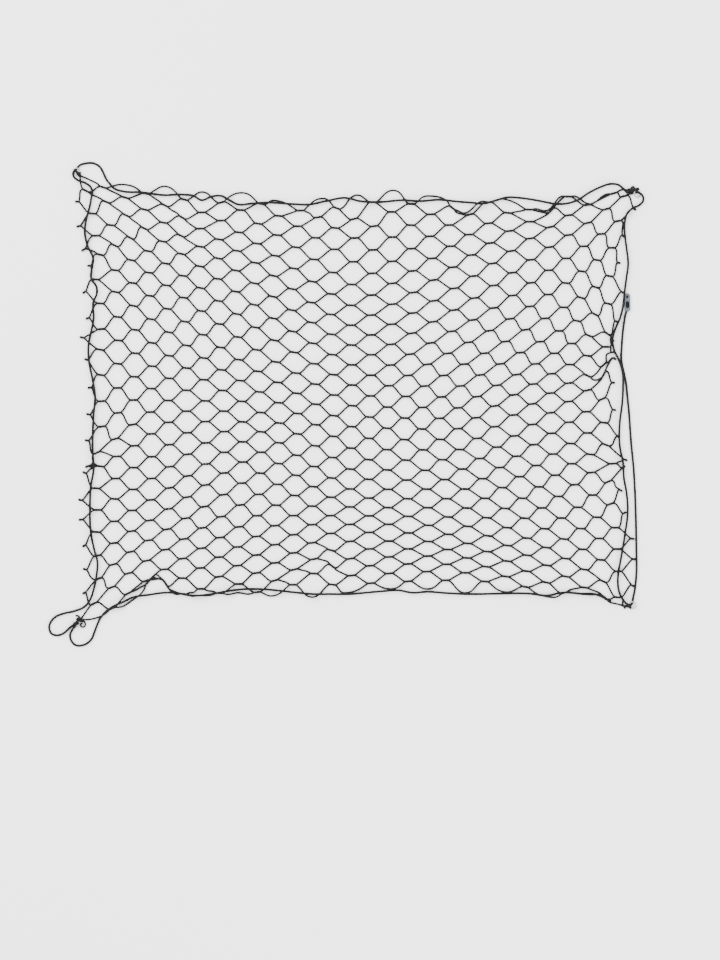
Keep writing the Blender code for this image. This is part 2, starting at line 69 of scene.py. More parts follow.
# The net's layout
# Seven upright lines of meshes, and the net's sections from its top edge to its bottom edge, in
# mm. "across" and "up" say where each line lies in that section. The values are a least-squares
# fit to the meshes' places in the photo, rounded, and a few are corrected.
OUTER_LINE = 15            # the line of the cut ends
LINES = (-OUTER_LINE, -12, -6, 0, 6, 12, OUTER_LINE)
SECTIONS = (
    {"row": -18, "across": (-595, -495, -245, -5, 240, 500, 590),
     "up": (475, 445, 415, 415, 420, 445, 440)},
    {"row": -15, "across": (-605, -500, -255, -5, 240, 495, 590),
     "up": (395, 390, 355, 345, 350, 375, 375)},
    {"row": -12, "across": (-590, -485, -260, -10, 250, 485, 570),
     "up": (330, 320, 295, 265, 285, 300, 290)},
    {"row": -8, "across": (-585, -480, -260, -15, 255, 480, 565),
     "up": (230, 222, 205, 175, 190, 190, 160)},
    {"row": -4, "across": (-590, -475, -255, -10, 235, 460, 550),
     "up": (130, 120, 105, 90, 95, 95, 90)},
    {"row": 2, "across": (-580, -480, -245, -10, 215, 455, 565),
     "up": (-35, -30, -30, -40, -45, -30, -30)},
    {"row": 8, "across": (-595, -480, -245, -15, 230, 465, 575),
     "up": (-165, -175, -160, -175, -175, -165, -160)},
    {"row": 14, "across": (-590, -485, -255, -15, 240, 485, 593),
     "up": (-320, -310, -300, -290, -295, -305, -300)},
    {"row": 20, "across": (-595, -495, -255, -10, 230, 490, 580),
     "up": (-475, -440, -420, -400, -390, -430, -450)},
)
TOP_ROW = -18
BOTTOM_ROW = 20

# Twists that the edge cord and the corners pull out of the even layout: their middles, in mm, and
# how they slope up to the right, in degrees
CAUGHT = named_rows(
    "line row at tilt",
    (-13, -18, (-545, 452), -18),
    (-14, -17, (-583, 445), -28),
    (-13, -16, (-539, 421), -24),
    (-13, -12, (-520, 327), -27),
    (-12, -17, (-498, 430), -17),
    (-12, -15, (-496, 392), -27),
    (-12, -13, (-486, 343), -28),
    (-11, -14, (-457, 364), -27),
    (-10, -17, (-412, 413), -27),
    (-10, -15, (-415, 376), -10),
    (-9, -16, (-375, 387), -32),
    (-9, -14, (-378, 348), -27),
    (-8, -17, (-333, 398), 0),
    (-14, -13, (-561, 348), 0),
    (-14, -11, (-551, 307), -14),
    (-14, -9, (-562, 254), -5),
    (-14, 5, (-559, -119), 28),
    (-13, 4, (-520, -89), 15),
    (-6, -17, (-249, 403), -3),
    (-3, -18, (-121, 402), 0),
    (-1, -18, (-43, 407), -22),
    (1, -18, (34, 419), 0),
    (2, -17, (75, 399), 0),
    (0, -17, (-6, 384), 14),
    (5, -18, (205, 408), -38),
    (8, -17, (324, 397), -5),
    (9, -18, (370, 404), 0),
    (9, -16, (372, 378), 0),
    (10, -17, (418, 402), 45),
    (11, -18, (454, 432), 0),
    (12, -17, (495, 414), 8),
    (13, -18, (552, 439), 14),
    (13, -16, (536, 405), 15),
    (14, -17, (575, 433), 15),
    (14, -7, (539, 137), -35),
    (14, -5, (536, 109), 0),
    (14, -3, (530, 70), 40),
    (13, -2, (496, 47), -25),
    (14, -1, (531, 50), 62),
    (14, 7, (550, -142), 3),
    (-11, 20, (-449, -397), 48),
    (-10, 19, (-411, -399), -58),
    (-9, 20, (-373, -422), -5),
    (-8, 19, (-335, -411), 0),
    (-7, 20, (-294, -420), 0),
    (-3, 20, (-137, -402), 0),
    (-2, 19, (-92, -378), -3),
    (-2, 17, (-92, -347), 10),
    (-1, 18, (-53, -362), -38),
    (-1, 16, (-55, -328), -16),
    (11, 20, (446, -419), 18),
    (13, 20, (531, -428), -38),
    (13, 18, (530, -395), -25),
    (14, 19, (561, -429), -5),
)
# The cut ends of the two sides, row by row: the tip's place across and up, in mm, and how the end
# slopes up towards its tip, in degrees
CUT_ENDS = named_rows(
    "row left right",
    (-16, (-605, 421, 0), (600, 403, -35)),
    (-14, (-602, 367, -15), (574, 344, -50)),
    (-12, (-591, 315, -35), (567, 289, -10)),
    (-10, (-578, 283, 0), (574, 224, -28)),
    (-8, (-589, 224, -35), (561, 162, -20)),
    (-6, (-582, 169, -20), (553, 122, 0)),
    (-4, (-595, 130, 10), (554, 97, 0)),
    (-2, (-585, 83, 20), (557, 82, -30)),
    (0, (-578, 21, -5), (555, 32, 0)),
    (2, (-581, -35, 15), (557, -27, -10)),
    (4, (-584, -92, 0), (566, -85, -18)),
    (6, (-583, -150, -30), (581, -135, -15)),
    (8, (-589, -160, 20), (577, -147, 30)),
    (10, (-598, -219, 15), (570, -201, -35)),
    (12, (-597, -263, -10), (578, -246, 25)),
    (14, (-589, -321, -40), (596, -304, -10)),
    (16, (-588, -368, 15), (600, -347, 0)),
    (18, (-589, -422, -35), (596, -406, -33)),
)
# The peak of each loose arc of the two selvedges, in mm
TOP_ARCS = named_rows(
    "line peak",
    (-14, (-572, 467)), (-12, (-497, 458)), (-10, (-411, 455)),
    (-8, (-330, 443)), (-6, (-244, 441)), (-4, (-178, 425)),
    (-2, (-75, 429)), (0, (-4, 436)), (2, (80, 447)),
    (4, (151, 434)), (6, (235, 396)), (8, (325, 424)),
    (10, (411, 401)), (12, (502, 414)), (14, (573, 447)),
)
BOTTOM_ARCS = named_rows(
    "line peak",
    (-14, (-561, -474)), (-12, (-486, -438)), (-10, (-429, -379)),
    (-8, (-339, -425)), (-6, (-255, -419)), (-4, (-176, -426)),
    (-2, (-95, -430)), (0, (-27, -420)), (2, (76, -411)),
    (4, (153, -412)), (6, (233, -421)), (8, (317, -418)),
    (10, (409, -428)), (12, (497, -423)), (14, (562, -444)),
)
# Where the yarn's knots hold the mesh at its corners, in mm
CORNERS = {
    "top_left": {"line": -OUTER_LINE, "row": TOP_ROW, "knot": (-594.5, 477)},
    "top_right": {"line": OUTER_LINE, "row": TOP_ROW, "knot": (587.5, 444)},
    "bottom_right": {"line": OUTER_LINE, "row": BOTTOM_ROW, "knot": (579, -449)},
    "bottom_left": {"line": -OUTER_LINE, "row": BOTTOM_ROW, "knot": (-594, -478)},
}

# The edge cord's route
# Across, up and the height of its middle, in mm, which is one of these two over most of its length
NET_HEIGHT = 6.3
FLOOR_HEIGHT = 2.65
MAIN_ROUTE = (
    (580.4, 189, 3.3), (579, 182.5, 3.0),
    *at(FLOOR_HEIGHT, (576.8, 175), (575.4, 166), (573, 150), (571, 131), (569.5, 109),
        (568.5, 88)),
    (570, 72, 2.8),
    *at(FLOOR_HEIGHT, (574, 55), (579, 30), (581.5, 5), (584.5, -25), (590, -100), (595, -151),
        (598, -203), (600, -263), (601, -323), (601, -381), (598, -410), (595.5, -424),
        (593.7, -432)),
    (592.8, -438.6, 2.3), (591, -443.9, 4.2), (588, -445.8, 6.8), (584.8, -445.8, 7.9),
    (580, -443, 7.3), (572, -434, 5.4),
    *at(NET_HEIGHT, (565, -421), (561, -400), (562, -376), (567, -349), (576, -295), (582, -248),
        (580, -207), (574, -173), (572, -140), (565, -104), (565, -54), (570, -14), (572, 21),
        (571, 54), (563, 81), (553, 102), (549.5, 124), (556, 148), (566, 172), (572.5, 200),
        (575, 223), (579, 255), (583, 287), (580, 318), (577, 340), (576, 378), (581, 396)),
    (593, 407, 4.0), (606, 413, 3.2), (614.5, 421, 3.2), (615.8, 430, 3.8), (610.8, 437.6, 5.1),
    (604, 440.6, 4.1), (596, 440.4, 2.4), (589, 438, 4.0), (582, 439.8, 5.1),
    *at(NET_HEIGHT, (575, 446.5), (562, 457), (546, 459), (523, 452), (499, 440), (474, 424),
        (452, 417), (428, 416), (405, 420), (379, 425), (349, 429), (323, 430), (297, 423),
        (274, 417), (244, 419), (216, 421), (179, 425), (136, 422), (100, 424), (48, 420),
        (7, 422), (-25, 429), (-62, 423), (-100, 415), (-143, 416), (-191, 419), (-225, 417),
        (-255, 415), (-275, 425), (-290, 433), (-311, 432), (-333, 424), (-352, 434), (-373, 436),
        (-416, 435), (-462, 441), (-502, 443)),
    (-522, 450, 5.2), (-530, 459, 5.4), (-538, 469, 3.4),
    *at(FLOOR_HEIGHT, (-544, 482), (-553, 497), (-567, 504), (-582, 503.5), (-594, 500)),
    (-601, 493.4, 2.3), (-605, 488, 4.0), (-609, 483, 6.0), (-608.5, 476, 5.6),
    *at(NET_HEIGHT, (-599, 467), (-583, 461), (-572, 453), (-568, 443), (-570, 429), (-574, 408),
        (-581, 382), (-584, 353), (-578, 326), (-566, 298), (-569, 275), (-570, 255), (-559, 238),
        (-558, 225), (-566, 204), (-565, 171), (-570, 143), (-576, 113), (-575, 77), (-568, 42),
        (-562, 4), (-565, -35), (-567, -78), (-567, -118), (-565, -154), (-571, -190),
        (-573, -235), (-571, -290), (-564, -326), (-557, -353), (-559, -383), (-566, -416),
        (-573, -435)),
    (-586, -450, 3.6),
    *at(FLOOR_HEIGHT, (-608, -459), (-630, -464), (-647, -471), (-658, -483), (-661, -495),
        (-656, -507), (-644, -511), (-631, -507)),
    (-617, -494.7, 4.4), (-606.6, -486.3, 6.3), (-599.8, -480.1, 5.4),
)
BOTTOM_ROUTE = (
    (-596.8, -483.3, 5.4), (-603.6, -489.6, 6.3), (-611, -499, 4.0),
    *at(FLOOR_HEIGHT, (-616, -510), (-613, -523), (-604, -532), (-594, -533), (-581, -529),
        (-570, -519), (-564, -505), (-558, -489)),
    (-551, -474, 3.6),
    *at(NET_HEIGHT, (-538, -459), (-522, -448), (-502, -439), (-481, -429), (-449, -424),
        (-412, -419), (-384, -420), (-358, -425), (-318, -423), (-285, -417), (-250, -412),
        (-217, -411), (-182, -413), (-137, -418), (-92, -422), (-53, -422), (-14, -422),
        (20, -419), (54, -416), (90, -414), (119, -419), (153, -417), (194, -420), (244, -422),
        (308, -421), (370, -421), (409, -425), (441, -419), (483, -421), (510, -422), (525, -427),
        (539, -435)),
)


# Sizes and colours that a user may change
class MeshSizes(PropertyGroup):
    """Sizes of the net's twine, and its colour."""

    twine: FloatProperty(
        name="Twine", description="Thickness of one strand", default=0.0044, min=0.001, max=0.005,
        unit="LENGTH")
    twist: FloatProperty(
        name="Twist length", description="Length of a two-strand twist", default=0.017,
        unit="LENGTH")
    leg: FloatProperty(
        name="Leg length", description="Length of the single strand between twists",
        default=0.0316, unit="LENGTH")
    spread: FloatProperty(
        name="Leg angle", description="Angle at which a leg leaves its twist",
        default=radians(42), unit="ROTATION")
    twist_width: FloatProperty(
        name="Twist width", description="Distance between the middles of a twist's two strands",
        default=0.0019, unit="LENGTH")
    turns: FloatProperty(
        name="Turns", description="Turns of the two strands in one twist", default=1.5)
    uneven: FloatProperty(
        name="Unevenness", description="How far the twists lie off an even layout",
        default=0.0005, unit="LENGTH")
    seed: IntProperty(name="Seed", description="Seed of the unevenness", default=7)
    colour: FloatVectorProperty(
        name="Twine colour", description="Colour of the twine", subtype="COLOR",
        default=(0.004, 0.004, 0.0043))


class CordSizes(PropertyGroup):
    """Sizes and colours of the edge cord, its lock, the corner rings and their yarn."""

    cord: FloatProperty(
        name="Cord", description="Thickness of the edge cord", default=0.0052, unit="LENGTH")
    wire: FloatProperty(
        name="Ring wire", description="Thickness of a ring's wire", default=0.0022,
        unit="LENGTH")
    ring: FloatProperty(
        name="Ring", description="Outside diameter of a ring", default=0.017, unit="LENGTH")
    yarn: FloatProperty(
        name="Yarn", description="Thickness of the lashing yarn", default=0.0023, unit="LENGTH")
    colour: FloatVectorProperty(
        name="Cord colour", description="Colour of the edge cord", subtype="COLOR",
        default=(0.0035, 0.0035, 0.0038))
    lock_colour: FloatVectorProperty(
        name="Lock colour", description="Colour of the cord lock's plastic", subtype="COLOR",
        default=(0.058, 0.073, 0.095))


def plain_values(group):
    """A property group's values, with its lengths in mm."""
    values = {}
    for key in group.__annotations__:
        value = getattr(group, key)
        if group.bl_rna.properties[key].unit == "LENGTH":
            value = round(value / MM, 6)
        values[key] = value
    return SimpleNamespace(**values)


# Small helpers
TINY = 1e-9                # keeps a division by a length from failing
NEARLY_UPRIGHT = 0.9       # how far a tube's start may point up before its sides start elsewhere


def full_turn(count):
    """count angles evenly once round, in radians."""
    return np.linspace(0, 2 * pi, count + 1)[:-1]


def unit(vectors):
    """The vectors at length one."""
    vectors = np.asarray(vectors, float)
    return vectors / np.maximum(np.linalg.norm(vectors, axis=-1, keepdims=True), TINY)


def run_along(points):
    """How far along a path each of its points lies."""
    return np.append(0, np.cumsum(np.linalg.norm(np.diff(points, axis=0), axis=1)))


def curve_weights(t):
    """A smooth curve's shares, at t from 0 to 1, of its end and of its directions at both ends."""
    return 3 * t * t - 2 * t ** 3, t ** 3 - 2 * t * t + t, t ** 3 - t * t


def smooth_value(knots, values, place):
    """Value at a place on the smooth line through values at uneven knots, straight past them."""
    values = np.asarray(values, float)
    slopes = np.gradient(values, knots, axis=0)
    first = int(np.clip(np.searchsorted(knots, place) - 1, 0, len(knots) - 2))
    step = knots[first + 1] - knots[first]
    t = (place - knots[first]) / step
    if t < 0:
        return values[first] + slopes[first] * t * step
    if t > 1:
        return values[first + 1] + slopes[first + 1] * (t - 1) * step
    rise, lead_in, lead_out = curve_weights(t)
    return (values[first] * (1 - rise) + values[first + 1] * rise
            + step * (slopes[first] * lead_in + slopes[first + 1] * lead_out))


def net_point(line, row):
    """Where a place of the mesh lies on the surface, in mm."""
    places = [smooth_value(LINES, np.column_stack((s["across"], s["up"])), line) for s in SECTIONS]
    return smooth_value([s["row"] for s in SECTIONS], places, row)


def smooth_step(low, high, value):
    """How far a value has come from low to high, from 0 to 1 and soft at both ends."""
    t = np.clip((value - low) / (high - low), 0, 1)
    return t * t * (3 - 2 * t)


def resample(points, count):
    """count points evenly along the smooth curve through points."""
    reach = run_along(points)
    places = np.linspace(0, reach[-1], count)
    return np.array([smooth_value(reach, points, place) for place in places])


def smooth_route(route, step):
    """Points about a step apart along a cord's route, no lower than on the floor."""
    points = resample(route, ceil(run_along(route)[-1] / step) + 1)
    points[:, 2] = np.maximum(points[:, 2], FLOOR_HEIGHT)
    return points


def tube_arrays(path, radius, sides, closed=False):
    """Corner places, faces and UV of a tube along a path. radius may be one for each point."""
    path = np.asarray(path, float)
    count = len(path)
    radii = np.broadcast_to(radius, (count,))
    ahead = np.roll(path, -1, axis=0) - np.roll(path, 1, axis=0)
    if not closed:
        ahead[0] = path[1] - path[0]
        ahead[-1] = path[-1] - path[-2]
    ahead = unit(ahead)
    upright = np.array([0.0, 0.0, 1.0])
    if abs(ahead[0] @ upright) > NEARLY_UPRIGHT:
        upright = np.array([0.0, 1.0, 0.0])
    side = unit(np.cross(upright, ahead[0]))
    sideways = [side]
    for heading in ahead[1:]:
        side = unit(side - heading * (side @ heading))
        sideways.append(side)
    sideways = np.array(sideways)
    over = np.cross(ahead, sideways)
    angles = np.arange(sides) * 2 * pi / sides
    spots = (path[:, None] + radii[:, None, None] * (
        np.cos(angles)[None, :, None] * sideways[:, None]
        + np.sin(angles)[None, :, None] * over[:, None])).reshape(-1, 3)
    along = run_along(np.append(path, path[:1], axis=0))
    faces, spans = [], []
    for ring in range(count if closed else count - 1):
        after = (ring + 1) % count
        reach = along[ring + 1]
        for k in range(sides):
            m = (k + 1) % sides
            faces.append((ring * sides + k, ring * sides + m, after * sides + m, after * sides + k))
            spans.append(((along[ring], k), (along[ring], k + 1), (reach, k + 1), (reach, k)))
    if not closed:
        faces.append(tuple(range(sides - 1, -1, -1)))
        spans.append(tuple((along[0], k) for k in range(sides)))
        last = (count - 1) * sides
        faces.append(tuple(range(last, last + sides)))
        spans.append(tuple((along[count - 1], k) for k in range(sides)))
    return spots, faces, spans


def tubes_mesh(name, strands, sides):
    """One mesh of many tubes. strands are (path in mm, radius in mm) or (path, radius, closed).

    The UV map runs along each tube in metres, and once round it.
    """
    spots, faces, uv = [], [], []
    start = 0
    for path, radius, *closed in strands:
        places, ends, spans = tube_arrays(path, radius, sides, bool(closed and closed[0]))
        spots.append(places)
        faces.extend(tuple(corner + start for corner in face) for face in ends)
        uv.extend((u * MM, k / sides) for span in spans for u, k in span)
        start += len(places)
    mesh = bpy.data.meshes.new(name)
    mesh.from_pydata((np.concatenate(spots) * MM).tolist(), [], faces)
    layer = mesh.uv_layers.new(name="strand")
    layer.data.foreach_set("uv", np.array(uv, np.float32).ravel())
    mesh.shade_smooth()
    mesh.update()
    return mesh


def add_piece(name, mesh, material, slot, *nodes):
    """Put a piece in the scene, on the part's one body, in place of the nodes it dresses."""
    if not len(mesh.polygons):
        raise RuntimeError(f"{name} has no faces")
    piece = bpy.data.objects.new(name, mesh)
    bpy.context.scene.collection.objects.link(piece)
    mesh.materials.append(material)
    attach(piece, "root")
    if nodes:
        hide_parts(*nodes)
    return piece


# The cords' places
CORD_STEP = 2.0


def cord_paths():
    """Points along the middle of the edge cord's two lengths, in mm."""
    routes = {"main": MAIN_ROUTE, "bottom": BOTTOM_ROUTE}
    return {name: smooth_route(route, CORD_STEP) for name, route in routes.items()}


# The mesh
LEG_POINTS = 5             # free points along a leg while it settles
SETTLE_STEPS = 160
LENGTH_ROUNDS = 4
LENGTH_PUSH = 1.4          # how hard each round brings the strands back to their length
LEG_VARIATION = 0.02       # how much the legs differ in length, as a share
SLOPE_STEP = 0.3           # how far to each side the mesh's slope at a twist is read, in lines
ANCHOR_PULL = 0.05         # how strongly a twist is drawn to its place
LEG_STIFFNESS = 0.4
END_STIFFNESS = 0.2        # how strongly a leg keeps its angle to the twist that it leaves
TWIST_TURNING = 0.15
FIRST_REACH = 1.25         # how far a leg runs on in its first direction, in chords
GATHERED = 0.6             # a strand whose held ends are nearer than this share of its length
GATHERED_SLACK = 1.2       # is gathered on the cord, and shows only this many times the gap
HALF_STEPS = 4             # steps along half a twist
LEG_STEPS = 7
ARC_STEPS = 12
ROUNDED_FROM = 3           # points at a strand's ends that keep the twist's shape
ROUNDING_PASSES = 2
CUT_LENGTH = 9.0
CUT_TURN = 1.5 * pi        # how far a cut end's strands turn round each other
FLARE_FROM = 0.75          # the share of a cut end after which its strands spread
FLARE = 3.2                # how fast they spread there
CROSS_HEIGHT = 8.8         # how far a strand is lifted where it passes over the cord
CROSS_PERIOD = 60.0        # length of cord in which strands pass over it once and under it once
CROSS_REACH = 13.0         # how far from the cord a strand starts to rise
CROSS_NEAR = 3.2           # how near to the cord it is fully up
CROSS_BLEND = 0.15         # how soon strands that pass over give way to strands that pass under
HEIGHT_SLACK = 0.3         # how far below NET_HEIGHT a cord still counts as on the net
STRAND_SIDES = 5


def rows_of(line):
    """Rows of the twists on a line."""
    first = TOP_ROW if line % 2 else TOP_ROW + 1
    last = BOTTOM_ROW if line % 2 else BOTTOM_ROW - 1
    return range(first, last + 1, 2)


def leg_curve(start, end, first, last, steps):
    """Points of a strand that leaves start in one direction and reaches end in another."""
    reach = hypot(*(end - start)) * FIRST_REACH
    points = []
    for t in np.linspace(0, 1, steps + 1):
        rise, lead_in, lead_out = curve_weights(t)
        points.append(start * (1 - rise) + end * rise + (first * lead_in + last * lead_out) * reach)
    return points


def direction(degrees):
    """The flat direction that slopes up to the right by an angle."""
    return np.array([cos(radians(degrees)), sin(radians(degrees))])


def turned(vectors, angle):
    """Flat vectors turned anticlockwise by an angle in radians, one angle or one for each."""
    vectors = np.asarray(vectors, float)
    x, y = vectors[..., 0], vectors[..., 1]
    c, s = np.cos(angle), np.sin(angle)
    return np.stack((x * c - y * s, x * s + y * c), -1)


class Lattice:
    """The twists and the strands between them, settled on the surface."""

    def __init__(self, sizes):
        self.sizes = sizes
        self.random = np.random.default_rng(sizes.seed)
        self.points = []
        self.left = {}
        self.right = {}
        self.legs = []
        self.make_twists()
        self.make_sides()
        self.make_legs()
        self.points = np.array(self.points)
        self.settle()

    def add(self, place):
        self.points.append(np.array(place, float))
        return len(self.points) - 1

    def make_twists(self):
        half = self.sizes.twist / 2
        self.centres = {}
        self.held = []
        caught = {(twist["line"], twist["row"]): twist for twist in CAUGHT}
        for line in range(1 - OUTER_LINE, OUTER_LINE):
            for row in rows_of(line):
                key = line, row
                centre = net_point(line, row) + self.random.normal(0, self.sizes.uneven, 2)
                slope = unit(net_point(line + SLOPE_STEP, row) - net_point(line - SLOPE_STEP, row))
                if key in caught:
                    centre = np.array(caught[key]["at"], float)
                    slope = direction(caught[key]["tilt"])
                self.centres[key] = centre
                self.left[key] = self.add(centre - slope * half)
                self.right[key] = self.add(centre + slope * half)
                if key in caught:
                    self.held += [self.left[key], self.right[key]]

    def make_sides(self):
        """Cut ends and corners: one point each, that stays."""
        self.tips = {}
        for ends in CUT_ENDS:
            for side, sign in (("left", -1), ("right", 1)):
                *tip, tilt = ends[side]
                outward = direction(tilt) * (sign, 1)
                key = sign * OUTER_LINE, ends["row"]
                self.tips[key] = np.array(tip, float)
                self.hold_at_side(key, tip - outward * CUT_LENGTH)
        for corner in CORNERS.values():
            self.hold_at_side((corner["line"], corner["row"]), corner["knot"])

    def hold_at_side(self, key, place):
        """Hold the mesh at a place of a side or a corner."""
        ends = self.right if key[0] < 0 else self.left
        ends[key] = self.add(place)
        self.held.append(ends[key])

    def way(self, key):
        """Direction of a twist to the right, or straight right at a cut end."""
        if key not in self.centres:
            return np.array([1.0, 0.0])
        return unit(self.points[self.right[key]] - self.points[self.left[key]])

    def make_legs(self):
        spread = self.sizes.spread
        for (line, row), start in list(self.right.items()):
            for level in (-1, 1):
                key = (line + 1, row + level)
                end = self.left.get(key)
                if end is None:
                    continue
                a, b = self.points[start], self.points[end]
                turn = -level * spread
                curve = leg_curve(a, b, turned(self.way((line, row)), turn),
                                  turned(self.way(key), turn), LEG_POINTS + 1)
                chain = [start, *(self.add(place) for place in curve[1:-1]), end]
                length = self.sizes.leg * (1 + self.random.normal(0, LEG_VARIATION))
                gap = hypot(*(b - a))
                if start in self.held and end in self.held and gap < length * GATHERED:
                    length = gap * GATHERED_SLACK
                self.legs.append({"from": (line, row), "to": key, "level": level,
                                  "chain": chain, "length": length})

    def settle(self):
        """Draw the twists to their places while every strand keeps its length."""
        keys = list(self.centres)
        left = np.array([self.left[key] for key in keys])
        right = np.array([self.right[key] for key in keys])
        home = np.array([self.centres[key] for key in keys])
        chains = np.array([leg["chain"] for leg in self.legs])
        lengths = np.array([leg["length"] for leg in self.legs]) / (LEG_POINTS + 1)
        held = np.array(self.held)
        held_at = self.points[held]
        first = np.concatenate((chains[:, :-1].ravel(), left))
        second = np.concatenate((chains[:, 1:].ravel(), right))
        rest = np.concatenate((np.repeat(lengths, LEG_POINTS + 1),
                               np.full(len(left), self.sizes.twist)))
        shares = np.zeros(len(self.points))
        np.add.at(shares, first, 1)
        np.add.at(shares, second, 1)
        joints = self.twist_joints(chains, lengths)
        points = self.points
        for _ in range(SETTLE_STEPS):
            beside = (points[chains[:, :-2]] + points[chains[:, 2:]]) / 2
            points[chains[:, 1:-1]] += (beside - points[chains[:, 1:-1]]) * LEG_STIFFNESS
            self.keep_angles(points, joints)
            drift = (home - (points[left] + points[right]) / 2) * ANCHOR_PULL
            points[left] += drift
            points[right] += drift
            for _ in range(LENGTH_ROUNDS):
                apart = points[second] - points[first]
                span = np.maximum(np.linalg.norm(apart, axis=1), TINY)
                push = apart * (0.5 * (span - rest) / span)[:, None]
                moves = np.zeros_like(points)
                np.add.at(moves, first, push)
                np.add.at(moves, second, -push)
                points += moves / np.maximum(shares, 1)[:, None] * LENGTH_PUSH
                points[held] = held_at

    def twist_joints(self, chains, lengths):
        """Where legs meet twists: near and far end of the twist, the leg's next point, its turn."""
        spread = self.sizes.spread
        rows = []
        for leg, chain, length in zip(self.legs, chains, lengths):
            turn = -leg["level"] * spread
            if leg["from"] in self.centres:
                rows.append((chain[0], self.left[leg["from"]], chain[1], turn, length))
            if leg["to"] in self.centres:
                rows.append((chain[-1], self.right[leg["to"]], chain[-2], turn, length))
        near, far, beyond, turn, step = zip(*rows)
        return np.array(near), np.array(far), np.array(beyond), np.array(turn), np.array(step)

    def keep_angles(self, points, joints):
        """Bring each leg, and the twist that it leaves, nearer to the angle between them."""
        near, far, beyond, turn, step = joints
        way = unit(points[near] - points[far])
        wanted = points[near] + turned(way, turn) * step[:, None]
        off = points[beyond] - wanted
        across = np.stack((-way[:, 1], way[:, 0]), -1)
        lean = (off * across).sum(1)
        swing = across * (lean / step * TWIST_TURNING * self.sizes.twist / 2)[:, None]
        moves = np.zeros_like(points)
        np.add.at(moves, beyond, -off * END_STIFFNESS)
        np.add.at(moves, near, swing)
        np.add.at(moves, far, -swing)
        points += moves

    def ends(self, line, row):
        """The left and right end of a twist."""
        return self.points[self.left[line, row]], self.points[self.right[line, row]]


def half_twist(lattice, key, level, toward_right):
    """Half of one strand of a twist, from the twist's centre to its right or left end."""
    sizes = lattice.sizes
    left, right = lattice.ends(*key)
    centre = (left + right) / 2
    along = (right if toward_right else left) - centre
    across = np.array([-along[1], along[0]]) / max(hypot(*along), TINY)
    if not toward_right:
        across = -across
    spread = sizes.twist_width / 2
    rest = sizes.twine / 2 + spread
    points = []
    for t in np.linspace(0, 1, HALF_STEPS + 1):
        turn = pi * sizes.turns * (1 - t) * (-1 if toward_right else 1)
        if level > 0:
            turn += pi
        place = centre + along * t + across * cos(turn) * spread
        points.append((*place, rest + sin(turn) * spread))
    return points


def mesh_strands(lattice):
    """Paths of all the strands between the twists' centres."""
    sizes = lattice.sizes
    strands = []
    for leg in lattice.legs:
        start, end = leg["from"], leg["to"]
        level = leg["level"]
        chain = lattice.points[leg["chain"]]
        path = []
        if start in lattice.centres:
            path += half_twist(lattice, start, level, True)
        middle = resample(chain, LEG_STEPS + 1)[1:-1]
        path += [(x, y, sizes.twine / 2) for x, y in middle]
        if end in lattice.centres:
            path += half_twist(lattice, end, -level, False)[::-1]
        if start not in lattice.centres:
            path = cut_strand(lattice, start, level, path, True)
        if end not in lattice.centres:
            path = cut_strand(lattice, end, -level, path, False)
        strands.append(rounded(path))
    return strands


def rounded(path):
    """Take the sharpness off a strand's bends, but for the twists at its two ends."""
    path = np.array(path)
    inner = np.arange(ROUNDED_FROM, len(path) - ROUNDED_FROM)
    for _ in range(ROUNDING_PASSES):
        beside = (path[inner - 1] + path[inner + 1]) / 2
        path[inner] = (path[inner] + beside) / 2
    return path


def cut_strand(lattice, place, level, path, at_start):
    """Carry a strand on into the cut end at a side, or into a corner's knot."""
    sizes = lattice.sizes
    node = lattice.points[(lattice.right if at_start else lattice.left)[place]]
    if place not in lattice.tips:
        more = [(*node, sizes.twine)]
        return more[::-1] + path if at_start else path + more
    away = lattice.tips[place] - node
    side = np.array([-away[1], away[0]]) / hypot(*away)
    sign = (1 if level < 0 else -1) * (1 if place[0] < 0 else 1)
    spread = sizes.twist_width / 2
    more = []
    for t in np.linspace(0, 1, HALF_STEPS + 1):
        turn = CUT_TURN * t + (0 if sign > 0 else pi)
        flare = spread * (1 + FLARE * max(t - FLARE_FROM, 0))
        more.append((*(node + away * t + side * cos(turn) * flare),
                     sizes.twine / 2 + spread + sin(turn) * spread))
    return more[::-1] + path if at_start else path + more


def arc_strand(lattice, arc, top):
    """A loose arc of the selvedge, with the half twists that it comes out of."""
    sizes = lattice.sizes
    row = TOP_ROW if top else BOTTOM_ROW
    line = arc["line"]
    level = -1 if top else 1
    turn = -level * sizes.spread
    start, end = (line - 1, row), (line + 1, row)
    first = lattice.points[lattice.right[start]]
    last = lattice.points[lattice.left[end]]
    peak = np.array(arc["peak"], float)
    over = unit(last - first)
    path, tail = [(*first, sizes.twine)], [(*last, sizes.twine)]
    leaving, reaching = unit(peak - first), unit(last - peak)
    if start in lattice.centres:
        path = half_twist(lattice, start, level, True)
        leaving = turned(lattice.way(start), turn)
    if end in lattice.centres:
        tail = half_twist(lattice, end, level, False)[::-1]
        reaching = turned(lattice.way(end), -turn)
    up = leg_curve(first, peak, leaving, over, ARC_STEPS // 2)
    down = leg_curve(peak, last, over, reaching, ARC_STEPS // 2)
    path += [(*place, sizes.twine / 2) for place in up[1:] + down[1:-1]]
    return rounded(path + tail)


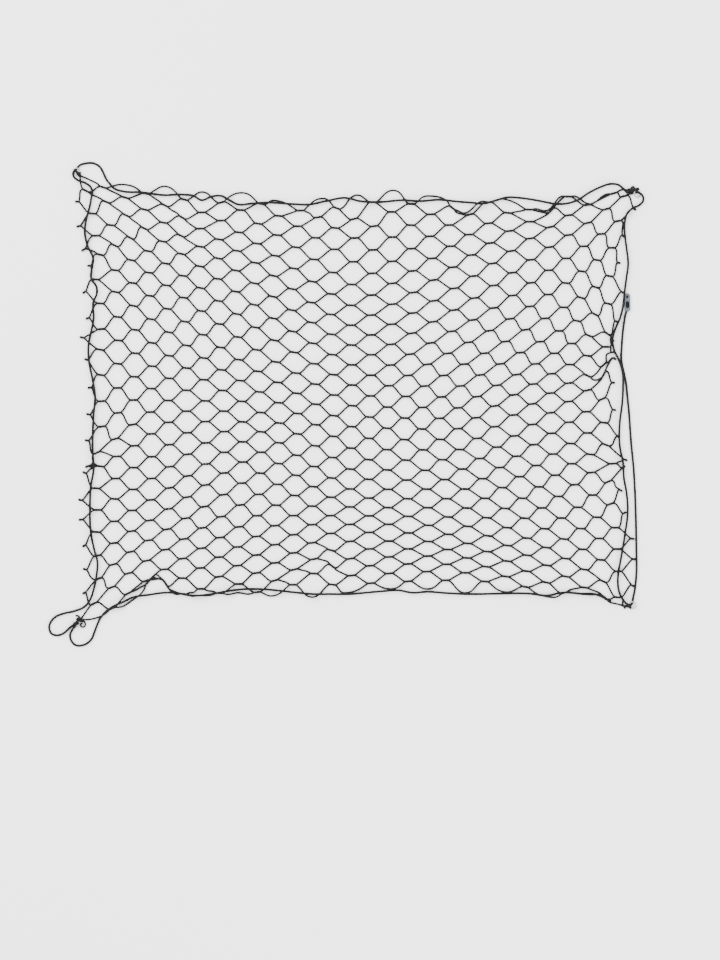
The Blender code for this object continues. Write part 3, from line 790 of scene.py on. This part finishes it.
def lift_over_cords(strands):
    """Raise the strands in turn over the edge cord, which the others pass under."""
    paths = list(cord_paths().values())
    cord = np.concatenate(paths)
    marks = np.concatenate([np.arange(len(path)) * CORD_STEP for path in paths])
    on_net = cord[:, 2] > NET_HEIGHT - HEIGHT_SLACK
    cord, marks = cord[on_net], marks[on_net]
    for path in strands:
        low = path[:, :2].min(0) - CROSS_REACH
        high = path[:, :2].max(0) + CROSS_REACH
        near = np.all((cord[:, :2] > low) & (cord[:, :2] < high), axis=1)
        if not near.any():
            continue
        gaps = np.linalg.norm(path[:, None, :2] - cord[None, near, :2], axis=2)
        nearest = gaps.argmin(1)
        wave = np.sin(2 * pi * marks[near][nearest] / CROSS_PERIOD)
        share = smooth_step(-CROSS_BLEND, CROSS_BLEND, wave)
        share = share * smooth_step(CROSS_REACH, CROSS_NEAR, gaps.min(1))
        path[:, 2] += CROSS_HEIGHT * share
    return strands


def all_strands(lattice):
    """Every strand of the net: the mesh's, then the loose arcs of its two selvedges."""
    strands = mesh_strands(lattice)
    for arcs, top in ((TOP_ARCS, True), (BOTTOM_ARCS, False)):
        strands += [arc_strand(lattice, arc, top) for arc in arcs]
    return lift_over_cords(strands)


class NET_OT_mesh(Operator):
    """Make the net's mesh: every twist and every strand between the twists"""

    bl_idname = "divider_net.mesh"
    bl_label = "Mesh"

    def execute(self, context):
        sizes = plain_values(context.scene.net_mesh)
        strands = all_strands(Lattice(sizes))
        mesh = tubes_mesh("net_mesh", [(path, sizes.twine / 2) for path in strands], STRAND_SIDES)
        net = add_piece("net_mesh", mesh, fibre_material("twisted_twine", sizes.colour),
                        "black_twine", "net")
        return {"FINISHED"}


# Materials
FIBRE_NOISE = {"scale": 900, "detail": 2}
MOTTLE_DETAIL = 4
NOISE_SPAN = (0.3, 0.7)    # where most of a noise's values lie
FIBRE_SHINE = 0.1
FIBRE_PATCHES = 300
FIBRE_UNEVEN = 0.06        # how far the fibres' roughness strays
RELIEF_STRENGTH = 0.8
# The fibres' finishes: how much lighter their base is than their colour, and how much lighter their
# ridges are painted as a highlight, the plies a metre and round the strand, the depth of the relief
# in mm, and the roughness
FIBRES = {
    "twisted_twine": {"base": 0.0, "ridge_highlight": 0.009, "per_metre": 420, "round": 2, "depth": 0.25,
                      "roughness": 0.75, "fuzz": 0.3},
    "braided_cord": {"base": 0.0, "ridge_highlight": 0.011, "per_metre": 500, "round": 8, "depth": 0.3,
                     "roughness": 0.7, "fuzz": 0.3},
    "lashing_yarn": {"base": 0.002, "ridge_highlight": 0.013, "per_metre": 900, "round": 3, "depth": 0.2,
                     "roughness": 0.8, "fuzz": 0.6},
}
# The smooth finishes: patches a metre, and the roughness that they lie between
GLOSS = {
    "nickel_plate": {"scale": 400, "low": 0.14, "high": 0.3},
    "lock_plastic": {"scale": 250, "low": 0.28, "high": 0.4},
    # the cord inside the lock, whose finish the windows' walls and bases also take as painted shade
    "cord_and_window_shade": {"scale": 500, "low": 0.5, "high": 0.7},
}
NICKEL_COLOUR = (0.36, 0.355, 0.345)


def shared_group(name, inputs, outputs, build):
    """A shader node group, built once. inputs map names to defaults, of which None is a colour."""
    if name in bpy.data.node_groups:
        return bpy.data.node_groups[name]
    group = bpy.data.node_groups.new(name, "ShaderNodeTree")
    for label, value in inputs.items():
        kind = "NodeSocketColor" if value is None else "NodeSocketFloat"
        socket = group.interface.new_socket(label, in_out="INPUT", socket_type=kind)
        if value is not None:
            socket.default_value = value
    for label, kind in outputs.items():
        group.interface.new_socket(label, in_out="OUTPUT", socket_type=kind)
    given = group.nodes.new("NodeGroupInput")
    result = group.nodes.new("NodeGroupOutput")
    build(group, given.outputs, result.inputs)
    return group


def add_noise(group, scale, detail):
    """Noise over the piece's own surface. scale is a number or a socket."""
    place = group.nodes.new("ShaderNodeTexCoord")
    noise = group.nodes.new("ShaderNodeTexNoise")
    noise.inputs["Detail"].default_value = detail
    group.links.new(place.outputs["Object"], noise.inputs["Vector"])
    if isinstance(scale, (int, float)):
        noise.inputs["Scale"].default_value = scale
    else:
        group.links.new(scale, noise.inputs["Scale"])
    return noise.outputs["Fac"]


def build_plies(group, given, result):
    """The slanting plies of a twisted strand, from its UV map, and a painted highlight on each
    ridge.
    """
    nodes, links = group.nodes, group.links
    uv = nodes.new("ShaderNodeUVMap")
    uv.uv_map = "strand"
    parts = nodes.new("ShaderNodeSeparateXYZ")
    links.new(uv.outputs["UV"], parts.inputs[0])

    def maths(operation, *values):
        node = nodes.new("ShaderNodeMath")
        node.operation = operation
        for socket, value in zip(node.inputs, values):
            if isinstance(value, (int, float)):
                socket.default_value = value
            else:
                links.new(value, socket)
        return node.outputs[0]

    along = maths("MULTIPLY", parts.outputs["X"], given["Plies per metre"])
    around = maths("MULTIPLY", parts.outputs["Y"], given["Plies round"])
    wave = maths("SINE", maths("MULTIPLY", maths("ADD", along, around), 2 * pi))
    ridge = maths("MULTIPLY_ADD", wave, 0.5, 0.5)
    noise = add_noise(group, FIBRE_NOISE["scale"], FIBRE_NOISE["detail"])
    # The colour turns lighter on the ridges, unevenly with the noise: a painted highlight
    mix = nodes.new("ShaderNodeMix")
    mix.data_type = "RGBA"
    links.new(maths("MULTIPLY", ridge, noise), mix.inputs["Factor"])
    links.new(given["Colour"], mix.inputs["A"])
    links.new(given["Highlight colour"], mix.inputs["B"])
    links.new(mix.outputs["Result"], result["Colour"])
    links.new(maths("ADD", ridge, maths("MULTIPLY", noise, given["Fuzz"])), result["Height"])


def build_mottle(group, given, result):
    """Soft uneven patches between a low and a high value."""
    spread = group.nodes.new("ShaderNodeMapRange")
    spread.inputs["From Min"].default_value, spread.inputs["From Max"].default_value = NOISE_SPAN
    noise = add_noise(group, given["Scale"], MOTTLE_DETAIL)
    group.links.new(noise, spread.inputs["Value"])
    group.links.new(given["Low"], spread.inputs["To Min"])
    group.links.new(given["High"], spread.inputs["To Max"])
    group.links.new(spread.outputs["Result"], result["Value"])


def new_material(name):
    material = bpy.data.materials.new(name)
    material.use_nodes = True
    return material, material.node_tree, material.node_tree.nodes["Principled BSDF"]


def add_group(tree, group, values):
    """A node group in a material, with its values. Returns its outputs."""
    node = tree.nodes.new("ShaderNodeGroup")
    node.node_tree = group
    for label, value in values.items():
        node.inputs[label].default_value = value
    return node.outputs


def add_mottle(tree, scale, low, high):
    group = shared_group("soft_mottle", {"Scale": 200.0, "Low": 0.2, "High": 0.4},
                         {"Value": "NodeSocketFloat"}, build_mottle)
    return add_group(tree, group, {"Scale": scale, "Low": low, "High": high})["Value"]


def fibre_material(name, colour):
    """Matt fibre with slanting plies, their ridges lighter as a painted highlight."""
    finish = FIBRES[name]
    material, tree, shader = new_material(name)
    group = shared_group(
        "strand_plies",
        {"Colour": None, "Highlight colour": None, "Plies per metre": 500.0, "Plies round": 3.0,
         "Fuzz": 0.3},
        {"Colour": "NodeSocketColor", "Height": "NodeSocketFloat"}, build_plies)
    plies = add_group(tree, group, {
        "Colour": (*lighter(colour, finish["base"]), 1),
        # the ridges' lighter colour is a painted highlight
        "Highlight colour": (*lighter(colour, finish["ridge_highlight"]), 1),
        "Plies per metre": finish["per_metre"],
        "Plies round": finish["round"],
        "Fuzz": finish["fuzz"],
    })
    tree.links.new(plies["Colour"], shader.inputs["Base Color"])
    bump = tree.nodes.new("ShaderNodeBump")
    bump.inputs["Strength"].default_value = RELIEF_STRENGTH
    bump.inputs["Distance"].default_value = finish["depth"] * MM
    tree.links.new(plies["Height"], bump.inputs["Height"])
    tree.links.new(bump.outputs["Normal"], shader.inputs["Normal"])
    mottle = add_mottle(tree, FIBRE_PATCHES, finish["roughness"] - FIBRE_UNEVEN,
                        finish["roughness"] + FIBRE_UNEVEN)
    tree.links.new(mottle, shader.inputs["Roughness"])
    shader.inputs["Specular IOR Level"].default_value = FIBRE_SHINE
    return material


def lighter(colour, share):
    """A colour, brought nearer to white by a share."""
    return tuple(value + (1 - value) * share for value in colour)


def smooth_material(name, colour):
    """A smooth finish, a little uneven in its gloss."""
    material, tree, shader = new_material(name)
    shader.inputs["Base Color"].default_value = (*colour, 1)
    tree.links.new(add_mottle(tree, **GLOSS[name]), shader.inputs["Roughness"])
    return material, shader


def nickel_material():
    material, shader = smooth_material("nickel_plate", NICKEL_COLOUR)
    shader.inputs["Metallic"].default_value = 1.0
    return material


def lock_material(sizes):
    material, shader = smooth_material("lock_plastic", sizes.lock_colour)
    shader.inputs["Transmission Weight"].default_value = 0.2
    shader.inputs["IOR"].default_value = 1.46
    return material


# The cord's own black, which the windows' walls and bases also take, as painted shade
def cord_and_window_shade_material(sizes):
    material, shader = smooth_material("cord_and_window_shade", sizes.colour)
    shader.inputs["Specular IOR Level"].default_value = FIBRE_SHINE
    return material


# The edge cord and what is on it
CORD_SIDES = 12
END_KNOT = (543.0, -437.3, NET_HEIGHT + 0.6)
END_KNOT_SIZE = (0.95, 0.8, 0.9)
END_KNOT_POINTS = 48
END_KNOT_SIDES = 10
DRAWN_TIGHT = 0.33         # the cord's radius in the knot, as a share of its thickness
LOCK = {"x": 581.5, "y": 204.5, "turn": 1.5, "length": 40.0, "width": 13.0, "thickness": 6.0}


class NET_OT_cords(Operator):
    """Make the edge cord's two lengths and the knot that ends the second"""

    bl_idname = "divider_net.cords"
    bl_label = "Edge cord"

    def execute(self, context):
        sizes = plain_values(context.scene.net_cord)
        material = fibre_material("braided_cord", sizes.colour)
        paths = cord_paths()
        knot = self.make_knot(sizes, material)
        main = self.make_cord("edge_cord", paths["main"], sizes, material,
                              "cord_right_outer", "cord_right_inner", "cord_top", "cord_left")
        bottom = self.make_cord("bottom_cord", paths["bottom"], sizes, material, "cord_bottom")
        return {"FINISHED"}

    def make_cord(self, name, path, sizes, material, *nodes):
        mesh = tubes_mesh(name, [(path, sizes.cord / 2)], CORD_SIDES)
        return add_piece(name, mesh, material, "black_cord", *nodes)

    def make_knot(self, sizes, material):
        """An overhand knot: a closed trefoil of the cord, drawn tight."""
        turns = full_turn(END_KNOT_POINTS)
        trefoil = np.column_stack((
            np.sin(turns) + 2 * np.sin(2 * turns),
            np.cos(turns) - 2 * np.cos(2 * turns),
            -np.sin(3 * turns)))
        path = trefoil * END_KNOT_SIZE + END_KNOT
        mesh = tubes_mesh("end_knot", [(path, sizes.cord * DRAWN_TIGHT, True)], END_KNOT_SIDES)
        return add_piece("end_knot", mesh, material, "black_cord", "cord_end_knot")


# Rings and lashings
RING_POINTS = 72
RING_SIDES = 20
# Centre of each ring, its lean, the side of its high edge, how far the yarn under it lifts it, and
# where on its wire the yarn is, from its high edge, in degrees
RINGS = {
    "top_left": {"x": -602, "y": 486, "lean": 21, "towards": 62, "lift": 0, "lashed": -98},
    "top_right": {"x": 603, "y": 438, "lean": 21, "towards": 170, "lift": 0, "lashed": -63},
    "bottom_right": {"x": 593, "y": -446, "lean": 18, "towards": 55, "lift": 1.2, "lashed": 163},
    "bottom_left": {"x": -604, "y": -487, "lean": 74, "towards": 42, "lift": 0, "lashed": 0},
}
# The yarn's knot at each corner: its middle, the way its length runs, in degrees, and its size
KNOTS = {
    "top_left": {"x": -597.5, "y": 480.5, "along": 128, "length": 16.0, "width": 9.5},
    "top_right": {"x": 590.5, "y": 445.5, "along": -12, "length": 19.0, "width": 9.5},
    "bottom_right": {"x": 582.0, "y": -448.5, "along": -10, "length": 12.0, "width": 7.0},
    "bottom_left": {"x": -596.0, "y": -477.5, "along": 150, "length": 15.0, "width": 10.5},
}
KNOT_HEIGHT = 4.2
KNOT_LOOPS = 8
LOOP_POINTS = 28
LOOP_TILT = 0.2            # how far a loop's tilt strays, in radians
LOOP_LENGTH = (0.7, 1.0)   # a loop's length and width, as shares of its knot's
LOOP_WIDTH = (0.75, 1.0)
LOOP_WARP = 0.3
LEADS = (-1.0, 0.0, 1.0)   # the strands from a knot to its ring, side by side
LEADS_APART = {"knot": 1.6, "ring": 1.2}
LEAD_RISE = {"knot": 0.6, "middle": 0.4}
LEAD_POINTS = 8
WIRE_TURNS = 4             # turns of yarn round a ring's wire
WIRE_TURN_POINTS = 14
WIRE_SPAN = 0.42           # how far they reach to each side, in radians
YARN_SIDES = 7
YARN_SEED = 11
TAIL_POINTS = 24
TAIL_THICKNESS = 4.0       # the yarn's loose ends are untwisted, so thicker than its turns
# The yarn's loose ends: across, up and height
YARN_TAILS = (
    {"corner": "top_left", "route": ((-600, 484, 4.6), (-603.5, 487.5, 4.2), (-607, 492, 2.0))},
    {"corner": "top_right", "route": ((589, 446, 5.0), (591, 451, 4.0), (594, 453.8, 2.4),
                                      (596.7, 450.2, 2.6), (597, 446, 4.6))},
    {"corner": "top_right", "route": ((594, 444, 5.2), (599, 447.5, 6.0), (604, 450, 3.0),
                                      (607, 446.5, 2.0))},
    {"corner": "bottom_right", "route": ((579, -447, 4.6), (575.5, -450.5, 2.4), (577, -454, 1.2))},
    {"corner": "bottom_left", "route": ((-593, -478, 4.6), (-594.4, -473.1, 4.4),
                                        (-598.5, -469.3, 2.4), (-604.5, -468.4, 1.2))},
    {"corner": "bottom_left", "route": ((-593, -479, 4.0), (-589.5, -481.2, 2.6),
                                        (-585.2, -481.8, 1.2), (-583.1, -487.5, 1.0),
                                        (-587.3, -493.2, 1.0), (-592.5, -491.5, 1.4),
                                        (-593.0, -486.6, 2.2), (-588.9, -485.2, 2.6))},
)


def ring_points(corner, sizes, angles, radius=None):
    """Places on a ring's circle, in mm, at angles in radians from its high edge."""
    ring = RINGS[corner]
    radius = (sizes.ring - sizes.wire) / 2 if radius is None else radius
    lean = radians(ring["lean"])
    height = sizes.wire / 2 + (sizes.ring - sizes.wire) / 2 * sin(lean) + ring["lift"]
    place = Matrix.Translation((ring["x"], ring["y"], height))
    place = place @ Euler((0, -lean, radians(ring["towards"])), "XYZ").to_matrix().to_4x4()
    return np.array([place @ Vector((cos(a) * radius, sin(a) * radius, 0)) for a in angles])


class NET_OT_rings(Operator):
    """Make the four metal rings at the corners"""

    bl_idname = "divider_net.rings"
    bl_label = "Corner rings"

    def execute(self, context):
        sizes = plain_values(context.scene.net_cord)
        material = nickel_material()
        for corner in RINGS:
            path = ring_points(corner, sizes, full_turn(RING_POINTS))
            mesh = tubes_mesh(f"ring_{corner}_wire", [(path, sizes.wire / 2, True)], RING_SIDES)
            add_piece(f"ring_{corner}_wire", mesh, material, "nickel", f"ring_{corner}")
        return {"FINISHED"}


class NET_OT_lashings(Operator):
    """Make the yarn that ties each ring to the net's corner"""

    bl_idname = "divider_net.lashings"
    bl_label = "Lashings"

    def execute(self, context):
        sizes = plain_values(context.scene.net_cord)
        material = fibre_material("lashing_yarn", sizes.colour)
        random = np.random.default_rng(YARN_SEED)
        for corner in RINGS:
            strands = self.turns_round_wire(corner, sizes)
            strands += self.knot(corner, sizes, random)
            mesh = tubes_mesh(f"yarn_{corner}", strands, YARN_SIDES)
            add_piece(f"yarn_{corner}", mesh, material, "black_yarn", f"lashing_{corner}")
        return {"FINISHED"}

    def turns_round_wire(self, corner, sizes):
        """The yarn's turns, side by side round the wire."""
        middle = radians(RINGS[corner]["lashed"])
        angles = np.linspace(-WIRE_SPAN, WIRE_SPAN, WIRE_TURNS * WIRE_TURN_POINTS) + middle
        axis = ring_points(corner, sizes, angles)
        ahead = unit(np.gradient(axis, axis=0))
        outward = unit(axis - ring_points(corner, sizes, [0], 0)[0])
        over = np.cross(ahead, outward)
        around = np.linspace(0, WIRE_TURNS * 2 * pi, len(angles))
        reach = sizes.wire / 2 + sizes.yarn / 2
        path = axis + reach * (np.cos(around)[:, None] * outward + np.sin(around)[:, None] * over)
        path[:, 2] = np.maximum(path[:, 2], sizes.yarn / 2)
        return [(path, sizes.yarn / 2)]

    def knot(self, corner, sizes, random):
        """A tight tangle of loops at the net's corner, and the strands that lead to the ring."""
        knot = KNOTS[corner]
        middle = np.array([knot["x"], knot["y"], KNOT_HEIGHT])
        toward = direction(knot["along"])
        across = np.array([-toward[1], toward[0]])
        ring = ring_points(corner, sizes, [radians(RINGS[corner]["lashed"])])[0]
        strands = []
        for loop in range(KNOT_LOOPS):
            turns = full_turn(LOOP_POINTS)
            tilt = loop * pi / KNOT_LOOPS + random.uniform(-LOOP_TILT, LOOP_TILT)
            long = (knot["length"] - sizes.yarn) / 2 * random.uniform(*LOOP_LENGTH)
            wide = (knot["width"] - sizes.yarn) / 2 * random.uniform(*LOOP_WIDTH)
            shift = random.uniform(-1, 1) * ((knot["length"] - sizes.yarn) / 2 - long)
            u = np.cos(turns) * long + shift
            warp = np.cos(turns) * wide * LOOP_WARP * sin(3 * tilt)
            v = np.sin(turns) * wide * cos(tilt) + warp
            w = np.sin(turns) * min(wide, KNOT_HEIGHT - sizes.yarn / 2) * sin(tilt)
            flat = np.outer(u, toward) + np.outer(v, across)
            path = np.column_stack((flat, w)) + middle
            strands.append((path, sizes.yarn / 2, True))
        for shift in LEADS:
            start = middle + (*(across * shift * LEADS_APART["knot"]), LEAD_RISE["knot"])
            end = ring + (*(across * shift * LEADS_APART["ring"]), 0.0)
            top = (start + end) / 2 + (0, 0, LEAD_RISE["middle"])
            strands.append((resample([start, top, end], LEAD_POINTS), sizes.yarn / 2))
        for tail in YARN_TAILS:
            if tail["corner"] == corner:
                path = resample(tail["route"], TAIL_POINTS)
                path[:, 2] = np.maximum(path[:, 2], TAIL_THICKNESS / 2)
                strands.append((path, TAIL_THICKNESS / 2))
        return strands


# The cord lock
# Its body from the underside up: how far each layer's edge is drawn in
LOCK_LAYERS = (
    {"height": 0.0, "inset": 1.2}, {"height": 0.5, "inset": 0.45}, {"height": 1.6, "inset": 0.0},
    {"height": 4.2, "inset": 0.0}, {"height": 5.2, "inset": 0.3}, {"height": 5.8, "inset": 0.9},
    {"height": 6.0, "inset": 1.6},
)
# The windows in its top: how far along the body they lie, and their sizes
LOCK_WINDOWS = (
    {"along": 12.0, "length": 6.4, "width": 5.2, "depth": 2.4},
    {"along": -5.0, "length": 16.0, "width": 7.4, "depth": 4.4},
)
WINDOW_STEPS = 6
WINDOW_LIP = {"share": 0.94, "depth": 0.4}
WINDOW_BASE = 0.9          # a window's base, as a share of its rim
LOCK_BORE = {"from": -18.5, "to": 17.0, "height": 3.3, "points": 12}


def capsule_outline(length, width, steps=12):
    """Corners of a bar with round ends, along Y, anticlockwise."""
    corners = []
    for end in (1, -1):
        for step in range(steps + 1):
            angle = pi * step / steps + (0 if end > 0 else pi)
            corners.append((cos(angle) * width / 2,
                            sin(angle) * width / 2 + end * (length - width) / 2))
    return np.array(corners)


def add_ring(spots, outline, height, along=0.0):
    """Add an outline's corners at a height. Returns their numbers."""
    start = len(spots)
    spots.extend((x, y + along, height) for x, y in outline)
    return list(range(start, len(spots)))


def wall_between(low, high):
    """Faces from one ring of corners to the next."""
    following = [*range(1, len(low)), 0]
    return [(low[k], low[m], high[m], high[k]) for k, m in enumerate(following)]


def filled(spots, *rings):
    """Triangles that fill the first ring but for the others, facing up."""
    corners = [corner for ring in rings for corner in ring]
    faces = []
    for a, b, c in tessellate_polygon([[Vector(spots[k]) for k in ring] for ring in rings]):
        one, two, three = (Vector(spots[corners[k]]) for k in (a, b, c))
        up = (two - one).cross(three - one).z
        faces.append((corners[a], corners[b], corners[c]) if up > 0 else
                     (corners[a], corners[c], corners[b]))
    return faces


class NET_OT_lock(Operator):
    """Make the cord lock, with its two windows and the cord that shows in them"""

    bl_idname = "divider_net.lock"
    bl_label = "Cord lock"

    def execute(self, context):
        sizes = plain_values(context.scene.net_cord)
        piece = add_piece("lock_body", self.body_mesh(sizes), lock_material(sizes),
                          "grey_plastic", "cord_lock")
        piece.data.materials.append(cord_and_window_shade_material(sizes))
        return {"FINISHED"}

    def body_mesh(self, sizes):
        """The body with its windows, whose walls and bases are painted dark as shade, and the cord
        inside it.
        """
        spots, faces = [], []
        rings = []
        for layer in LOCK_LAYERS:
            outline = capsule_outline(LOCK["length"] - 2 * layer["inset"],
                                      LOCK["width"] - 2 * layer["inset"])
            rings.append(add_ring(spots, outline, layer["height"]))
        for low, high in zip(rings, rings[1:]):
            faces += wall_between(low, high)
        faces.append(tuple(reversed(rings[0])))
        rims, cord_and_shaded_hollows = [], []
        for window in LOCK_WINDOWS:
            outline = capsule_outline(window["length"], window["width"], WINDOW_STEPS)
            along, top = window["along"], LOCK["thickness"]
            rim = add_ring(spots, outline, top, along)
            lip = add_ring(spots, outline * WINDOW_LIP["share"], top - WINDOW_LIP["depth"], along)
            base = add_ring(spots, outline * WINDOW_BASE, top - window["depth"], along)
            rims.append(rim)
            faces += wall_between(rim, lip)
            # The window's walls and base take the cord's black: painted shade inside the window
            cord_and_shaded_hollows += [*wall_between(lip, base), tuple(base)]
        faces += filled(spots, rings[-1], *rims)
        bore = [(0.0, along, LOCK_BORE["height"])
                for along in np.linspace(LOCK_BORE["from"], LOCK_BORE["to"], LOCK_BORE["points"])]
        cord, ends, _ = tube_arrays(bore, sizes.cord / 2, CORD_SIDES)
        cord_and_shaded_hollows += [tuple(corner + len(spots) for corner in face) for face in ends]
        spots += [tuple(place) for place in cord]
        place = Matrix.Translation((LOCK["x"], LOCK["y"], 0))
        place = place @ Matrix.Rotation(radians(LOCK["turn"]), 4, "Z")
        mesh = bpy.data.meshes.new("lock_body")
        mesh.from_pydata([place @ Vector(spot) * MM for spot in spots], [], faces + cord_and_shaded_hollows)
        mesh.shade_smooth()
        mesh.polygons.foreach_set("material_index", [0] * len(faces) + [1] * len(cord_and_shaded_hollows))
        mesh.update()
        return mesh


# Stage
VIEW_CENTRE = (0.0071, -0.177)
VIEW_HEIGHT = 2.064        # what the picture's height takes in, in metres
CAMERA_DISTANCE = 6.0
SENSOR = 36.0
FLOOR_REACH = 6.0
FLOOR_DROP = 0.0002        # how far below the net the floor lies
SKY_STRENGTH = 2.9
LIGHTS = named_rows(
    "name place energy size",
    ("key_light", (-2.0, 1.6, 3.2), 220, 3.0),
    ("fill_light", (2.2, -1.8, 3.0), 120, 3.0),
)


class NET_OT_stage(Operator):
    """Make the pale floor, the soft lights and the camera that looks straight down"""

    bl_idname = "divider_net.stage"
    bl_label = "Stage"

    def execute(self, context):
        scene = context.scene
        self.add_camera(scene)
        self.add_floor(scene)
        self.add_lights(scene)
        return {"FINISHED"}

    def add_camera(self, scene):
        camera = bpy.data.objects.new("camera", bpy.data.cameras.new("camera"))
        camera.data.sensor_width = SENSOR
        camera.data.sensor_height = SENSOR
        camera.data.sensor_fit = "VERTICAL"
        camera.data.lens = SENSOR * CAMERA_DISTANCE / VIEW_HEIGHT
        camera.location = (*VIEW_CENTRE, CAMERA_DISTANCE)
        scene.collection.objects.link(camera)
        scene.camera = camera

    def add_floor(self, scene):
        mesh = bpy.data.meshes.new("floor")
        corners = ((-1, -1), (1, -1), (1, 1), (-1, 1))
        mesh.from_pydata([(x * FLOOR_REACH, y * FLOOR_REACH, 0) for x, y in corners], [],
                         [(0, 1, 2, 3)])
        material, _, shader = new_material("white_floor")
        shader.inputs["Base Color"].default_value = (0.9, 0.9, 0.9, 1)
        shader.inputs["Roughness"].default_value = 0.9
        shader.inputs["Specular IOR Level"].default_value = 0.0
        mesh.materials.append(material)
        floor = bpy.data.objects.new("floor", mesh)
        floor.location.z = -FLOOR_DROP
        scene.collection.objects.link(floor)

    def add_lights(self, scene):
        world = bpy.data.worlds.new("soft_white")
        world.use_nodes = True
        sky = world.node_tree.nodes["Background"]
        sky.inputs["Color"].default_value = (1, 1, 1, 1)
        sky.inputs["Strength"].default_value = SKY_STRENGTH
        scene.world = world
        for row in LIGHTS:
            light = bpy.data.lights.new(row["name"], "AREA")
            light.energy = row["energy"]
            light.size = row["size"]
            lamp = bpy.data.objects.new(row["name"], light)
            lamp.location = row["place"]
            lamp.rotation_euler = (-Vector(row["place"])).to_track_quat("-Z", "Y").to_euler()
            scene.collection.objects.link(lamp)


# Panel
OPERATORS = (NET_OT_stage, NET_OT_lock, NET_OT_cords, NET_OT_mesh, NET_OT_rings, NET_OT_lashings)


class NET_PT_panel(Panel):
    """Lists the sizes and the pieces of the net"""

    bl_idname = "NET_PT_panel"
    bl_label = "Divider net"
    bl_space_type = "VIEW_3D"
    bl_region_type = "UI"
    bl_category = "Divider net"

    def draw(self, context):
        layout = self.layout
        for group in (context.scene.net_mesh, context.scene.net_cord):
            for key in group.__annotations__:
                layout.prop(group, key)
        for operator in OPERATORS:
            layout.operator(operator.bl_idname)


CLASSES = (MeshSizes, CordSizes, *OPERATORS, NET_PT_panel)


def register():
    for item in CLASSES:
        bpy.utils.register_class(item)
    bpy.types.Scene.net_mesh = PointerProperty(type=MeshSizes)
    bpy.types.Scene.net_cord = PointerProperty(type=CordSizes)


def unregister():
    del bpy.types.Scene.net_cord
    del bpy.types.Scene.net_mesh
    for item in reversed(CLASSES):
        bpy.utils.unregister_class(item)


def main():
    register()
    bpy.ops.divider_net.stage()
    bpy.ops.divider_net.lock()
    bpy.ops.divider_net.cords()
    bpy.ops.divider_net.mesh()
    bpy.ops.divider_net.rings()
    bpy.ops.divider_net.lashings()
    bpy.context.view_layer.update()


if __name__ == "__main__":
    main()
